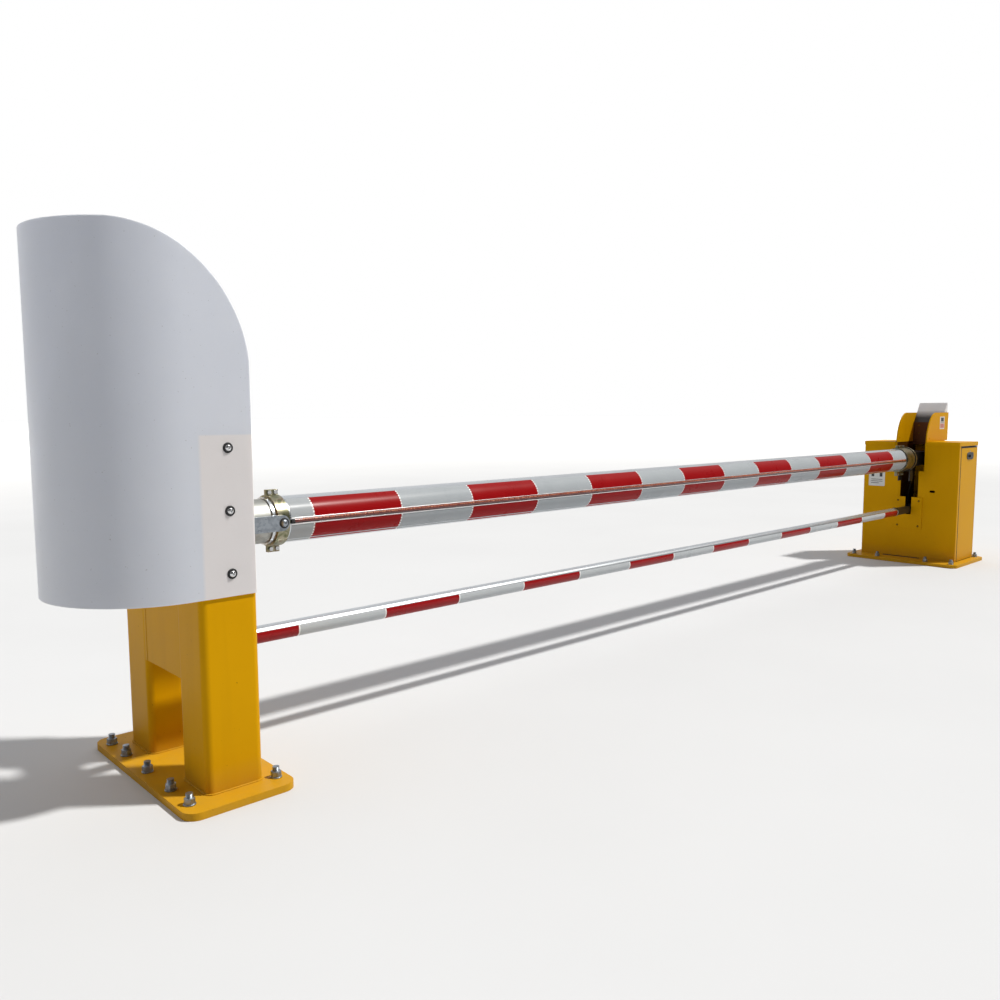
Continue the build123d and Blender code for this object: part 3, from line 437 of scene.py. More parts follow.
for kind, sizes, z in (
        ("GeometryNodeMeshCylinder", {"Vertices": 28, "Radius": WASHER_R, "Depth": WASHER_H}, WASHER_H / 2),
        ("GeometryNodeMeshCone", {"Vertices": 28, "Radius Top": WASHER_R - 1 * MM, "Radius Bottom": WASHER_R,
                                  "Depth": 0.8 * MM}, WASHER_H),
        ("GeometryNodeMeshCylinder", {"Vertices": 6, "Radius": NUT_R, "Depth": NUT_H}, WASHER_H + NUT_H / 2),
        ("GeometryNodeMeshCone", {"Vertices": 24, "Radius Top": NUT_R * 0.72, "Radius Bottom": NUT_R * 0.88,
                                  "Depth": 2.0 * MM}, WASHER_H + NUT_H - 0.2 * MM)):
    solid = add(anchor_set, kind, sizes)
    parts.append(add(anchor_set, "GeometryNodeTransform", {"Geometry": solid, "Translation": (0, 0, z)}))
close_recipe(anchor_set, put_on_points(anchor_set, given, join(anchor_set, *parts)), given["Finish"])
spots = []
for mount in frame["record"]["mounts"]:
    if mount["kind"] == "bolt_pattern":
        half_x = mount["dims"]["spacing_x_mm"] * MM / 2
        half_y = mount["dims"].get("spacing_y_mm", 0) * MM / 2
        x, y = mount["pos_m"][:2]
        for y_at in sorted({y - half_y, y + half_y}):
            spots += [((x + sign * half_x, y_at, foot), (0, 0, len(spots) * 0.7)) for sign in (-1, 1)]
make(points("anchor_hardware", spots), anchor_set, galvanised, "root", "galvanised", Stud=STUD_R,
     Height=STUD_UP, Pitch=PITCH)

# ---------------------------------------------------------------- Saddle pads and other black rubber
# Moulded EPDM rubber, bonded to the saddle's angles and pushed into the light grooves and the rail's end.
# It is dull black, slightly grey where it has bloomed, with a fine moulded grain.
rubber, tree, where = new_finish("black_epdm_rubber")
_, tone = mottle(tree, where, 30.0, 4.0, "#141517", "#2B2C2E")
grain = add(tree, "ShaderNodeTexNoise", {"Vector": where, "Scale": 700.0, "Detail": 2.0})
bump = relief(tree, grain, 0.25, 0.2 * MM, 1.2 * MM)
close_finish(tree, {"Base Color": tone, "Roughness": 0.6, "Normal": bump, "IOR": 1.5})
assign(rubber, "saddle_pads", "boom_light_caps", "rail_end_cap")

# ---------------------------------------------------------------- Curved end guard
# One sheet of milky UV-stabilised polyethylene, heat bent round the end of the post. Sun on its inner
# face glows through. Where a yellow column stands behind it, its colour is painted lighter and pinker:
# painted light for the column's glow through it. The skin is smooth, with faint lengthwise ribs from
# drawing and a thin road film.
SHEET_THROUGH = 10.0 * MM
RIB = 9.0 * MM           # spacing of the faint drawing ribs
guard_sheet, tree, where = new_finish("milky_polyethylene_sheet")
film, tone = mottle(tree, where, 1.9, 5.0, "#C5C9D2", "#D2D5DC", 0.6)
drawn = add(tree, "ShaderNodeMapping", {"Vector": where, "Scale": (1 / RIB, 1 / RIB, 1.5)})
ribs = add(tree, "ShaderNodeTexNoise", {"Vector": drawn, "Scale": 1.0, "Detail": 2.0})
specks = add(tree, "ShaderNodeTexNoise", {"Vector": where, "Scale": 150.0, "Detail": 1.0})
speck_mask = add(tree, "ShaderNodeMapRange", {"Value": specks, "From Min": 0.76, "From Max": 0.79,
                                              "To Max": 0.5})
flecked = add(tree, "ShaderNodeMix", {"Factor": speck_mask, "A": tone, "B": linear("#8E8C8A")},
              data_type="RGBA")
# Painted light: where a column stands behind the sheet, the colour is mixed lighter and pinker.
place = add(tree, "ShaderNodeSeparateXYZ", {"Vector": where})
past = add(tree, "ShaderNodeMapRange", {"Value": place.outputs["X"], "From Min": post_low.x + 8 * MM,
                                        "From Max": post_low.x + 20 * MM, "To Max": 0.7})
under = add(tree, "ShaderNodeMapRange", {"Value": place.outputs["Z"], "From Min": post_high.z + 3 * MM,
                                         "From Max": post_high.z - 3 * MM})
column_glow_mask = add(tree, "ShaderNodeMath", {0: past, 1: under}, operation="MULTIPLY")
column_glow_tone = add(tree, "ShaderNodeMix", {"Factor": column_glow_mask, "A": flecked, "B": linear("#E0D9D6")},
             data_type="RGBA")
gloss = add(tree, "ShaderNodeMapRange", {"Value": film, "To Min": 0.26, "To Max": 0.42})
bump = relief(tree, ribs, 0.10, 0.5 * MM, 1.5 * MM)
close_finish(tree, {"Base Color": column_glow_tone, "Roughness": gloss, "Normal": bump, "Subsurface Weight": 1.0,
                    "Subsurface Radius": (1.0, 0.98, 0.96), "Subsurface Scale": SHEET_THROUGH, "IOR": 1.5})
assign(guard_sheet, "end_guard")

# ---------------------------------------------------------------- Guard bolts
# Stainless button-head socket bolts, each with a cupped rubber-backed washer that spreads its load over
# the plastic. They pass through the sheet into tapped holes in the columns.


def solids(node):
    """The separate solids of a CAD node, as pairs of lowest and highest corners in a fixed order."""
    copy = bmesh.new()
    copy.from_mesh(frame["nodes"][node].data)
    bmesh.ops.remove_doubles(copy, verts=copy.verts, dist=0.00001)
    left, found = set(copy.verts), []
    while left:
        stack, group = [left.pop()], []
        while stack:
            vert = stack.pop()
            group.append(vert.co.copy())
            for edge in vert.link_edges:
                other = edge.other_vert(vert)
                if other in left:
                    left.remove(other)
                    stack.append(other)
        found.append((Vector([min(p[k] for p in group) for k in range(3)]),
                      Vector([max(p[k] for p in group) for k in range(3)])))
    copy.free()
    return sorted(found, key=lambda pair: tuple(round(c, 4) for c in pair[0]))


def domed_head(name, radius, height, rings, sockets):
    """A screw head: half a flattened ball, with its driver's socket cut into the top."""
    tree, given = new_recipe(name, Radius=radius, Height=height)
    ball = add(tree, "GeometryNodeMeshUVSphere", {"Segments": 2 * rings, "Rings": rings, "Radius": 1.0})
    size = add(tree, "ShaderNodeCombineXYZ", {"X": given["Radius"], "Y": given["Radius"],
                                              "Z": given["Height"]})
    dome = add(tree, "GeometryNodeTransform", {"Geometry": ball, "Scale": size})
    over = add(tree, "ShaderNodeCombineXYZ", {"Z": given["Height"]})
    head = add(tree, "GeometryNodeMeshBoolean", {0: dome}, operation="DIFFERENCE", solver="EXACT")
    under = ("GeometryNodeMeshCube", {"Size": (60 * MM, 60 * MM, 40 * MM)})
    for (kind, sizes), place in ((under, (0, 0, -20 * MM)), *((socket, over) for socket in sockets)):
        cut = add(tree, "GeometryNodeTransform", {"Geometry": add(tree, kind, sizes), "Translation": place})
        tree.links.new(cut.outputs[0], head.inputs[1])
    close_recipe(tree, put_on_points(tree, given, head), given["Finish"])
    return tree


polished = metal_finish("polished_stainless_steel", "#D9DADC", "#A9ABAE", 0.20, 6 * MM)
DOME_R, DOME_H, KEY_R = 11.0 * MM, 7.5 * MM, 3.6 * MM
button_head = domed_head("button_head", DOME_R, DOME_H, 14, (
    ("GeometryNodeMeshCylinder", {"Vertices": 6, "Radius": KEY_R, "Depth": 8 * MM}),))
OUTWARD = {-1: (math.radians(90), 0, 0), 1: (math.radians(-90), 0, 0)}
washer_top = max(abs(c) for pair in solids("guard_washers") for c in (pair[0].y, pair[1].y))
spots = []
for low, high in solids("guard_bolts"):
    middle = (low + high) / 2
    side = -1 if middle.y < 0 else 1
    spots.append(((middle.x, side * washer_top, middle.z), OUTWARD[side]))
bolt_heads = make(points("guard_bolt_heads", spots), button_head, polished, "root", "plated_fasteners",
                  Radius=DOME_R, Height=DOME_H)
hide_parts("guard_bolts")

RING_R, RING_H = 17.5 * MM, 3.0 * MM
cup_washer, given = new_recipe("cup_washer", Radius=RING_R, Height=RING_H)
section = add(cup_washer, "GeometryNodeCurvePrimitiveCircle", {"Resolution": 12, "Radius": 1.0})
half = add(cup_washer, "ShaderNodeMath", {0: given["Radius"], 1: 0.18}, operation="MULTIPLY")
size = add(cup_washer, "ShaderNodeCombineXYZ", {"X": half, "Y": given["Height"], "Z": half})
oval = add(cup_washer, "GeometryNodeTransform", {"Geometry": section, "Scale": size})
centre_r = add(cup_washer, "ShaderNodeMath", {0: given["Radius"], 1: half}, operation="SUBTRACT")
rim = add(cup_washer, "GeometryNodeCurvePrimitiveCircle", {"Resolution": 32, "Radius": centre_r})
ring = add(cup_washer, "GeometryNodeCurveToMesh", {"Curve": rim, "Profile Curve": oval})
disc = add(cup_washer, "GeometryNodeMeshCylinder", {"Vertices": 32, "Radius": centre_r, "Depth": 2.0 * MM})
disc_up = add(cup_washer, "GeometryNodeTransform", {"Geometry": disc, "Translation": (0, 0, 1.0 * MM)})
close_recipe(cup_washer, put_on_points(cup_washer, given, join(cup_washer, ring, disc_up)), given["Finish"])
seat_y = min(abs(c) for pair in solids("guard_washers") for c in (pair[0].y, pair[1].y))
spots = [((x, math.copysign(seat_y, y), z), turn) for (x, y, z), turn in spots]
washers = make(points("guard_cup_washers", spots), cup_washer, rubber, "root", "black_rubber", Radius=RING_R,
               Height=RING_H)
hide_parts("guard_washers")

# ---------------------------------------------------------------- Cabinet labels and painted shade at the foot
# Printed vinyl stickers on the front and on the near ear, with plain printed shapes and no words, and a
# black bead under the front panel where its foot isn't welded: painted shade for the dark gap there.


def slab(name, outline, depth, place, across, up, material, body, edge=0.0):
    """A flat piece: an outline in its own plane, given a thickness and a softened front edge."""
    across, up = Vector(across).normalized(), Vector(up).normalized()
    out = across.cross(up)
    mesh = bmesh.new()
    rings = []
    levels = ((0.0, 0.0), (depth - edge, 0.0), (depth, edge)) if edge else ((0.0, 0.0), (depth, 0.0))
    centre = Vector((sum(p[0] for p in outline), sum(p[1] for p in outline))) / len(outline)
    for rise, inset in levels:
        ring = []
        for u, v in outline:
            shrink = Vector((u, v)) - centre
            shrink = shrink * (1 - inset / max(shrink.length, 1e-6)) + centre
            ring.append(mesh.verts.new(Vector(place) + across * shrink.x + up * shrink.y + out * rise))
        rings.append(ring)
    for lower, upper in zip(rings, rings[1:]):
        for i in range(len(lower)):
            j = (i + 1) % len(lower)
            mesh.faces.new((lower[i], lower[j], upper[j], upper[i]))
    mesh.faces.new(rings[-1])
    mesh.faces.new(list(reversed(rings[0])))
    return finish_mesh(name, mesh, material, body)


def rounded(width, height, corner, at=(0.0, 0.0), steps=5):
    """A rectangle's outline with rounded corners, about a point."""
    outline = []
    for quarter, (sx, sy) in enumerate(((1, 1), (-1, 1), (-1, -1), (1, -1))):
        for k in range(steps + 1):
            turn = math.radians(90 * quarter + 90 * k / steps)
            outline.append((at[0] + sx * (width / 2 - corner) + corner * math.cos(turn),
                            at[1] + sy * (height / 2 - corner) + corner * math.sin(turn)))
    return outline


vinyl, tree, where = new_finish("white_printed_vinyl")
fade, tone = mottle(tree, where, 22.0, 4.0, "#CFCFCB", "#DCDDDA")
crease = add(tree, "ShaderNodeBump", {"Height": fade, "Strength": 0.15, "Distance": 0.4 * MM})
close_finish(tree, {"Base Color": tone, "Roughness": 0.38, "Normal": crease, "IOR": 1.5})


def printing(name, full, faded):
    """Printing ink on vinyl, bleached in patches by the sun."""
    material, tree, where = new_finish(name)
    _, tone = mottle(tree, where, 90.0, 3.0, full, faded)
    close_finish(tree, {"Base Color": tone, "Roughness": 0.45, "IOR": 1.5})
    return material


ink = printing("faded_black_ink", "#1A1C20", "#3A3D42")
red_ink = printing("faded_red_ink", "#B4655C", "#C88E84")
STICKER = 0.4 * MM
FRONT_AT = Vector((front_low.x, 280 * MM, 695 * MM))
slab("front_label", rounded(140 * MM, 132 * MM, 5 * MM), STICKER, FRONT_AT, (0, -1, 0), (0, 0, 1), vinyl,
     "root")
PRINTS = ((24, 40, -36, 36), (24, 40, 36, 36), (100, 5, 0, -8), (100, 5, 0, -24), (70, 5, -15, -40))
for i, (w, h, u, v) in enumerate(PRINTS):
    slab(f"front_label_print_{i}", rounded(w * MM, h * MM, 2 * MM, (u * MM, v * MM)), 0.1 * MM,
         FRONT_AT - Vector((STICKER, 0, 0)), (0, -1, 0), (0, 0, 1), ink, "root")
near_low, near_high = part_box("cheek_plate_near")
EAR_AT = Vector((120 * MM, near_low.y, near_high.z - 89 * MM))
slab("ear_label", rounded(100 * MM, 107 * MM, 4 * MM), STICKER, EAR_AT, (1, 0, 0), (0, 0, 1), vinyl, "root")
EAR_PRINTS = ((62, 34, 0, 28, ink), (80, 4, 0, 3, ink), (82, 38, 0, -25, red_ink))
for i, (w, h, u, v, tint) in enumerate(EAR_PRINTS):
    slab(f"ear_label_print_{i}", rounded(w * MM, h * MM, 1.4 * MM, (u * MM, v * MM)), 0.1 * MM,
         EAR_AT - Vector((0, STICKER, 0)), (1, 0, 0), (0, 0, 1), tint, "root")
# Painted shade: a black bead along the unwelded foot stands in for the shaded gap.
(_, gap_shade_from), (gap_shade_to, _) = FOOT_RUNS
foot_gap_shade = chains("foot_gap_shade", [([Vector((front_low.x - 0.5 * MM, gap_shade_from * MM, foot + 2 * MM)),
                                   Vector((front_low.x - 0.5 * MM, gap_shade_to * MM, foot + 2 * MM))], False)])
make(foot_gap_shade, weld_bead, rubber, "root", "black_rubber", sharp=80, Radius=4.5 * MM, Ripple=24.0 * MM)

# ---------------------------------------------------------------- Panel screws
# Zinc-plated pan-head screws with a cross recess hold the cover plate and the deflector. The ones on the
# cabinet's front have gone brown, and the machine bolts and clamp bolts are still bright.
plated = metal_finish("bright_zinc_plate", "#D5D6D6", "#8F9296", 0.30, 3 * MM)
CROSS = 1.6 * MM
cross_slots = [("GeometryNodeMeshCube", {"Size": size}) for size in (
    (8 * MM, CROSS, 4 * MM), (CROSS, 8 * MM, 4 * MM))]
pan_head = domed_head("pan_head", 8 * MM, 4 * MM, 12, cross_slots)
TOWARD_POST = (0, math.radians(-90), 0)
HEAD_H = 4.0 * MM
spots = []
for low, high in solids("panel_screws"):
    spots.append(((low.x + HEAD_H, (low.y + high.y) / 2, (low.z + high.z) / 2), TOWARD_POST))
browned = metal_finish("brown_chromated_zinc", "#7A5C22", "#4E390F", 0.42, 3 * MM)
screws = make(points("cover_screws", spots), pan_head, browned, "root", "plated_fasteners", Radius=8.5 * MM,
              Height=4.5 * MM)
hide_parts("panel_screws")
assign(plated, "machine_bolts", "door_hinge_studs", "clamp_bolts")

# ---------------------------------------------------------------- Boom deflector
# White sheet of the same plastic family as the guard, screwed behind the ears to guide the boom's heel.
# Below the tops of the ears it is painted near black: painted shade where the ears shadow it.
EAR_SHADOW_FROM, EAR_SHADOW_TO = 1225 * MM, 1290 * MM     # heights above the ground
white_sheet, tree, where = new_finish("white_polyethylene_sheet")
film, sheet_white = mottle(tree, where, 9.0, 5.0, "#D6D4D6", "#E6E4E4")
place = add(tree, "ShaderNodeSeparateXYZ", {"Vector": where})
# Painted shade: the colour turns near black below the ears' tops.
ear_shadow_mask = add(tree, "ShaderNodeMapRange", {"Value": place.outputs["Z"], "From Min": EAR_SHADOW_FROM,
                                          "From Max": EAR_SHADOW_TO})
tone = add(tree, "ShaderNodeMix", {"Factor": ear_shadow_mask, "A": linear("#2C2628"), "B": sheet_white}, data_type="RGBA")
bump = relief(tree, film, 0.08, 0.5 * MM, 1.5 * MM)
close_finish(tree, {"Base Color": tone, "Roughness": 0.36, "Normal": bump, "Subsurface Weight": 0.5,
                    "Subsurface Radius": (1.0, 0.98, 0.96), "Subsurface Scale": 12 * MM, "IOR": 1.5})
assign(white_sheet, "boom_deflector")

# ---------------------------------------------------------------- Drive inside the cabinet
# Iron castings in machine enamel, a finned motor, an oil-tempered balance spring, dark oiled levers and
# rods, and a powder-coated control box. They show when the doors are open and through the front slot.


def enamel(name, dark, light, rough, cast):
    """Painted or oiled metal: tone and gloss drift, over a skin as coarse as its casting or grain."""
    material, tree, where = new_finish(name)
    drift, tone = mottle(tree, where, 11.0, 5.0, dark, light)
    rough_map = add(tree, "ShaderNodeMapRange", {"Value": drift, "To Min": rough - 0.08,
                                                 "To Max": rough + 0.12})
    skin = add(tree, "ShaderNodeTexNoise", {"Vector": where, "Scale": 1 / cast, "Detail": 3.0})
    bump = relief(tree, skin, 0.3, 0.5 * MM, 1.5 * MM)
    close_finish(tree, {"Base Color": tone, "Roughness": rough_map, "Normal": bump, "IOR": 1.5})
    return material


cast_iron = enamel("grey_enamelled_cast_iron", "#3E444A", "#50565C", 0.45, 2.2 * MM)
assign(cast_iron, "gearbox", "bearing_housings")
motor_enamel = enamel("blue_grey_motor_enamel", "#38506A", "#46607C", 0.36, 1.6 * MM)
assign(motor_enamel, "motor")
assign(enamel("light_grey_control_box_powder", "#A9ACAD", "#B9BCBC", 0.48, 1.4 * MM), "control_box")
assign(enamel("black_abs_switch_housing", "#17181A", "#232426", 0.5, 0.8 * MM), "limit_switches")
black_steel = enamel("black_oiled_steel", "#1C1A18", "#322E2A", 0.42, 1.8 * MM)
assign(black_steel, "rail_pedestal", "boom_hub", "drive_lever", "limit_cam", "spring_anchor", "rail_bracket",
       "rail_guide_plates", "rail_lever", "link_rod", "drive_crank", "push_rod")
# The slot's back plate is painted dark brown: painted shade for the deep shade in the slot.
assign(enamel("brown_painted_shade", "#4E2604", "#5C2E06", 0.6, 1.8 * MM), "slot_back_plate")
assign(metal_finish("ground_shaft_steel", "#B9BBBD", "#85888C", 0.28, 12 * MM), "main_shaft")
assign(metal_finish("oil_tempered_spring_steel", "#5B5A58", "#2E2C2B", 0.40, 8 * MM), "balance_spring")
assign(metal_finish("galvanised_wire_rope", "#B8BBBE", "#74787C", 0.45, 2 * MM), "crash_cables")
FIN_LONG, FIN_OUT, FIN_T, FINS = 190 * MM, 9 * MM, 2.4 * MM, 30
motor_fins, given = new_recipe("motor_fins", Length=FIN_LONG, Out=FIN_OUT, Thickness=FIN_T)
size = add(motor_fins, "ShaderNodeCombineXYZ", {"X": given["Out"], "Y": given["Thickness"],
                                                "Z": given["Length"]})
fin = add(motor_fins, "GeometryNodeMeshCube", {"Size": size})
close_recipe(motor_fins, put_on_points(motor_fins, given, fin), given["Finish"])
MOTOR_AT, MOTOR_R = Vector((-25 * MM, -194 * MM, 262 * MM)), 60 * MM
spots = []
for i in range(FINS):
    turn = 2 * math.pi * i / FINS
    if abs(turn - math.pi) > 0.75:           # the terminal box stands there
        out = Vector((math.cos(turn), math.sin(turn), 0))
        spots.append((MOTOR_AT + out * (MOTOR_R + 1 * MM), (0, 0, turn)))
make(points("motor_cooling_fins", spots), motor_fins, motor_enamel, "root", "motor_paint", Length=FIN_LONG,
     Out=FIN_OUT, Thickness=FIN_T)

# ---------------------------------------------------------------- Boom tube
# Extruded aluminium, left bare along its top and underside. The press leaves fine straight lines, so
# the light stretches round it, and handling has left soft grey scuffs.
DRAW_LINE = 1.2 * MM     # real die lines are finer; drawn coarse enough to show
bare_aluminium, tree, where = new_finish("extruded_aluminium")
_, tone = mottle(tree, where, 6.0, 5.0, "#DDE1E4", "#C3C8CD")
drawn = add(tree, "ShaderNodeMapping", {"Vector": where, "Scale": (2.0, 1 / DRAW_LINE, 1 / DRAW_LINE)})
lines = add(tree, "ShaderNodeTexNoise", {"Vector": drawn, "Scale": 1.0, "Detail": 2.0})
rough_map = add(tree, "ShaderNodeMapRange", {"Value": lines, "To Min": 0.20, "To Max": 0.36})
bump = relief(tree, lines, 0.10, 0.3 * MM, 1.0 * MM)
close_finish(tree, {"Base Color": tone, "Metallic": 1.0, "Roughness": rough_map, "Normal": bump})
assign(bare_aluminium, "boom_tube", "lower_rail")

# ---------------------------------------------------------------- Reflective tape
# Prismatic sheeting in red and white lengths: a clear satin face over honeycomb cells. At each end of a
# red length the face is heat sealed to the backing, which leaves a bright edge.


def sheeting(name, cell_tone, wall_tone, axis_z, radius, cell, shine):
    """Prismatic sheeting on a tube along X: hexagonal cells are laid out on the unrolled tube."""
    material, tree, where = new_finish(name)
    place = add(tree, "ShaderNodeSeparateXYZ", {"Vector": where})
    up = add(tree, "ShaderNodeMath", {0: place.outputs["Z"], 1: axis_z}, operation="SUBTRACT")
    round_it = add(tree, "ShaderNodeMath", {0: up, 1: place.outputs["Y"]}, operation="ARCTAN2")
    girth = add(tree, "ShaderNodeMath", {0: round_it, 1: radius}, operation="MULTIPLY")
    unrolled = add(tree, "ShaderNodeCombineXYZ", {"X": place.outputs["X"], "Y": girth})
    step, half = (cell, cell * math.sqrt(3), 1.0), (cell / 2, cell * math.sqrt(3) / 2, 0.0)
    nearest = []
    for shift in ((0.0, 0.0, 0.0), half):
        moved = add(tree, "ShaderNodeVectorMath", {0: unrolled, 1: shift}, operation="SUBTRACT")
        tile = add(tree, "ShaderNodeVectorMath", {0: moved, 1: step}, operation="MODULO")
        wrapped = add(tree, "ShaderNodeVectorMath", {0: tile, 1: step}, operation="ADD")
        tile = add(tree, "ShaderNodeVectorMath", {0: wrapped, 1: step}, operation="MODULO")
        centred = add(tree, "ShaderNodeVectorMath", {0: tile, 1: half}, operation="SUBTRACT")
        away = add(tree, "ShaderNodeVectorMath", {0: centred}, operation="LENGTH")
        nearest.append((centred, away.outputs["Value"]))
    first = add(tree, "ShaderNodeMath", {0: nearest[0][1], 1: nearest[1][1]}, operation="LESS_THAN")
    offset = add(tree, "ShaderNodeMix", {"Factor": first, "A": nearest[1][0], "B": nearest[0][0]},
                 data_type="VECTOR")
    folded = add(tree, "ShaderNodeVectorMath", {0: offset}, operation="ABSOLUTE")
    slope = add(tree, "ShaderNodeVectorMath", {0: folded, 1: (0.5, math.sqrt(3) / 2, 0.0)},
                operation="DOT_PRODUCT")
    flat = add(tree, "ShaderNodeSeparateXYZ", {"Vector": folded})
    reach = add(tree, "ShaderNodeMath", {0: slope.outputs["Value"], 1: flat.outputs["X"]},
                operation="MAXIMUM")
    wall = add(tree, "ShaderNodeMapRange", {"Value": reach, "From Min": cell * 0.40,
                                            "From Max": cell * 0.47})
    grime, soiled = mottle(tree, where, 8.0, 5.0, cell_tone[0], cell_tone[1])
    tone = add(tree, "ShaderNodeMix", {"Factor": wall, "A": soiled, "B": linear(wall_tone)},
               data_type="RGBA")
    rough_map = add(tree, "ShaderNodeMapRange", {"Value": grime, "To Min": 0.22, "To Max": 0.36})
    bump = add(tree, "ShaderNodeBump", {"Height": wall, "Strength": 0.12, "Distance": 0.15 * MM})
    close_finish(tree, {"Base Color": tone, "Roughness": rough_map, "Normal": bump, "IOR": 1.5,
                        "Specular IOR Level": shine})
    return material


def tube_of(node):
    """Radius and axis height of a tube along X."""
    low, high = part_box(node)
    return (high.y - low.y) / 2, (high.z + low.z) / 2


boom_r, boom_z = tube_of("boom_tube")
rail_r, rail_z = tube_of("lower_rail")
CELL = 7.0 * MM          # real cells are about 4 mm; drawn coarse enough to show
BOOM_SHINE, RAIL_SHINE = 0.10, 0.25
WHITE, RAIL_WHITE = ("#989DA2", "#A4A9AD"), ("#A9AEB2", "#B5B9BC")
RED = ("#860709", "#92090C")
for name, tones, walls, axis_z, radius, shine, node in (
        ("white_prismatic_sheeting", WHITE, "#B4B9BC", boom_z, boom_r, BOOM_SHINE, "boom_tape_white"),
        ("red_prismatic_sheeting", RED, "#A21A20", boom_z, boom_r, BOOM_SHINE, "boom_tape_red"),
        ("white_rail_sheeting", RAIL_WHITE, "#C6CACC", rail_z, rail_r, RAIL_SHINE, "rail_tape_white"),
        ("red_rail_sheeting", RED, "#A21A20", rail_z, rail_r, RAIL_SHINE, "rail_tape_red")):
    assign(sheeting(name, tones, walls, axis_z, radius, CELL, shine), node)

sealed_edge, tree, where = new_finish("heat_sealed_tape_edge")
_, tone = mottle(tree, where, 60.0, 3.0, "#E6E6E4", "#F4F4F2")
close_finish(tree, {"Base Color": tone, "Roughness": 0.3, "IOR": 1.5})
SEAL_W, SEAL_T = 6.0 * MM, 0.25 * MM
tape_seal, given = new_recipe("tape_seal", Radius=boom_r, Width=SEAL_W, Thickness=SEAL_T, From=0.0,
                              Sweep=1.0)
bend = add(tape_seal, "GeometryNodeCurveArc", {"Resolution": 16, "Radius": given["Radius"],
                                               "Start Angle": given["From"], "Sweep Angle": given["Sweep"]},
           mode="RADIUS")
strip = add(tape_seal, "GeometryNodeCurvePrimitiveQuadrilateral", {"Width": given["Thickness"],
                                                                   "Height": given["Width"]})
band = add(tape_seal, "GeometryNodeCurveToMesh", {"Curve": bend, "Profile Curve": strip, "Fill Caps": True})
close_recipe(tape_seal, put_on_points(tape_seal, given, band), given["Finish"])
TOP_OF_BOOM, GROOVE_TURN = math.radians(62), math.radians(7.4)
RAIL_TOP, RAIL_LOW = math.radians(26.5), math.radians(-59)
SIDES = ((math.radians(90), 0, math.radians(-90)), (math.radians(90), 0, math.radians(90)))
for name, node, radius, body, slot, arcs in (
        ("boom", "boom_tape_red", boom_r, "boom", "white_tape",
         ((GROOVE_TURN, TOP_OF_BOOM - GROOVE_TURN), (-TOP_OF_BOOM, TOP_OF_BOOM - GROOVE_TURN))),
        ("rail", "rail_tape_red", rail_r, "rail", "white_tape", ((RAIL_LOW, RAIL_TOP - RAIL_LOW),))):
    axis_z = boom_z if name == "boom" else rail_z
    ends = sorted({round(x, 3) for low, high in solids(node) for x in (low.x, high.x)})
    for i, (start, sweep) in enumerate(arcs):
        spots = [((x, 0, axis_z), turn) for x in ends for turn in SIDES]
        make(points(f"{name}_tape_seals_{i}", spots), tape_seal, sealed_edge, body, slot,
             Radius=radius + 0.5 * MM, Width=SEAL_W, Thickness=SEAL_T * 2, From=start, Sweep=sweep)

# ---------------------------------------------------------------- Warning lights in the boom's grooves
# A clear red PVC rope with a row of light-emitting diodes is pressed into each groove and bulges a
# little out of it. The diodes show as amber beads along it.
rope_vinyl, tree, where = new_finish("clear_red_vinyl_rope")
_, tone = mottle(tree, where, 45.0, 3.0, "#4E0F0C", "#7A2416")
close_finish(tree, {"Base Color": tone, "Roughness": 0.22, "IOR": 1.5, "Coat Weight": 0.5,
                    "Coat Roughness": 0.06})
amber, tree, where = new_finish("amber_diode_lens")
_, tone = mottle(tree, where, 30.0, 2.0, "#C8481C", "#F4B088")
close_finish(tree, {"Base Color": tone, "Roughness": 0.15, "IOR": 1.5})
rope_low, rope_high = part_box("boom_light_ropes")
ROPE_R, ROPE_IN, ROPE_UP = 8.6 * MM, 2.5 * MM, 2.0 * MM
straight_strip, given = new_recipe("straight_strip", Radius=ROPE_R)
line = add(straight_strip, "GeometryNodeMeshToCurve", {"Mesh": given["Geometry"]})
ring = add(straight_strip, "GeometryNodeCurvePrimitiveCircle", {"Resolution": 14, "Radius": given["Radius"]})
strip = add(straight_strip, "GeometryNodeCurveToMesh", {"Curve": line, "Profile Curve": ring,
                                                        "Fill Caps": True})
close_recipe(straight_strip, strip, given["Finish"])
rope_y = boom_r - ROPE_IN
lines = both_sides(rope_low.x, rope_high.x, rope_y, boom_z + ROPE_UP)
light_rope = make(chains("boom_light_rope_skins", lines), straight_strip, rope_vinyl, "boom", "light_rope",
                  Radius=ROPE_R)
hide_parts("boom_light_ropes")
DIODE_R, DIODE_STEP, BEAD_TURN, UNLIT_END = 3.2 * MM, 9.5 * MM, math.radians(24), 20 * MM
diode_row, given = new_recipe("diode_row", Radius=DIODE_R, Spacing=DIODE_STEP)
line = add(diode_row, "GeometryNodeMeshToCurve", {"Mesh": given["Geometry"]})
spread = add(diode_row, "GeometryNodeCurveToPoints", {"Curve": line, "Length": given["Spacing"]},
             mode="LENGTH")
nudge = add(diode_row, "FunctionNodeRandomValue", {"Min": (-3 * MM, 0, -1 * MM), "Max": (3 * MM, 0, 1 * MM),
                                                   "Seed": 5}, data_type="FLOAT_VECTOR")
set_in = add(diode_row, "GeometryNodeSetPosition", {"Geometry": spread, "Offset": nudge})
grain_size = add(diode_row, "FunctionNodeRandomValue", {"Min": 0.75, "Max": 1.2, "Seed": 9},
                 data_type="FLOAT")
bead = add(diode_row, "GeometryNodeMeshIcoSphere", {"Radius": given["Radius"], "Subdivisions": 1})
placed = add(diode_row, "GeometryNodeInstanceOnPoints", {"Points": set_in, "Instance": bead,
                                                         "Scale": grain_size})
close_recipe(diode_row, placed, given["Finish"])
bead_y, bead_z = rope_y + ROPE_R * math.cos(BEAD_TURN), boom_z + ROPE_UP + ROPE_R * math.sin(BEAD_TURN)
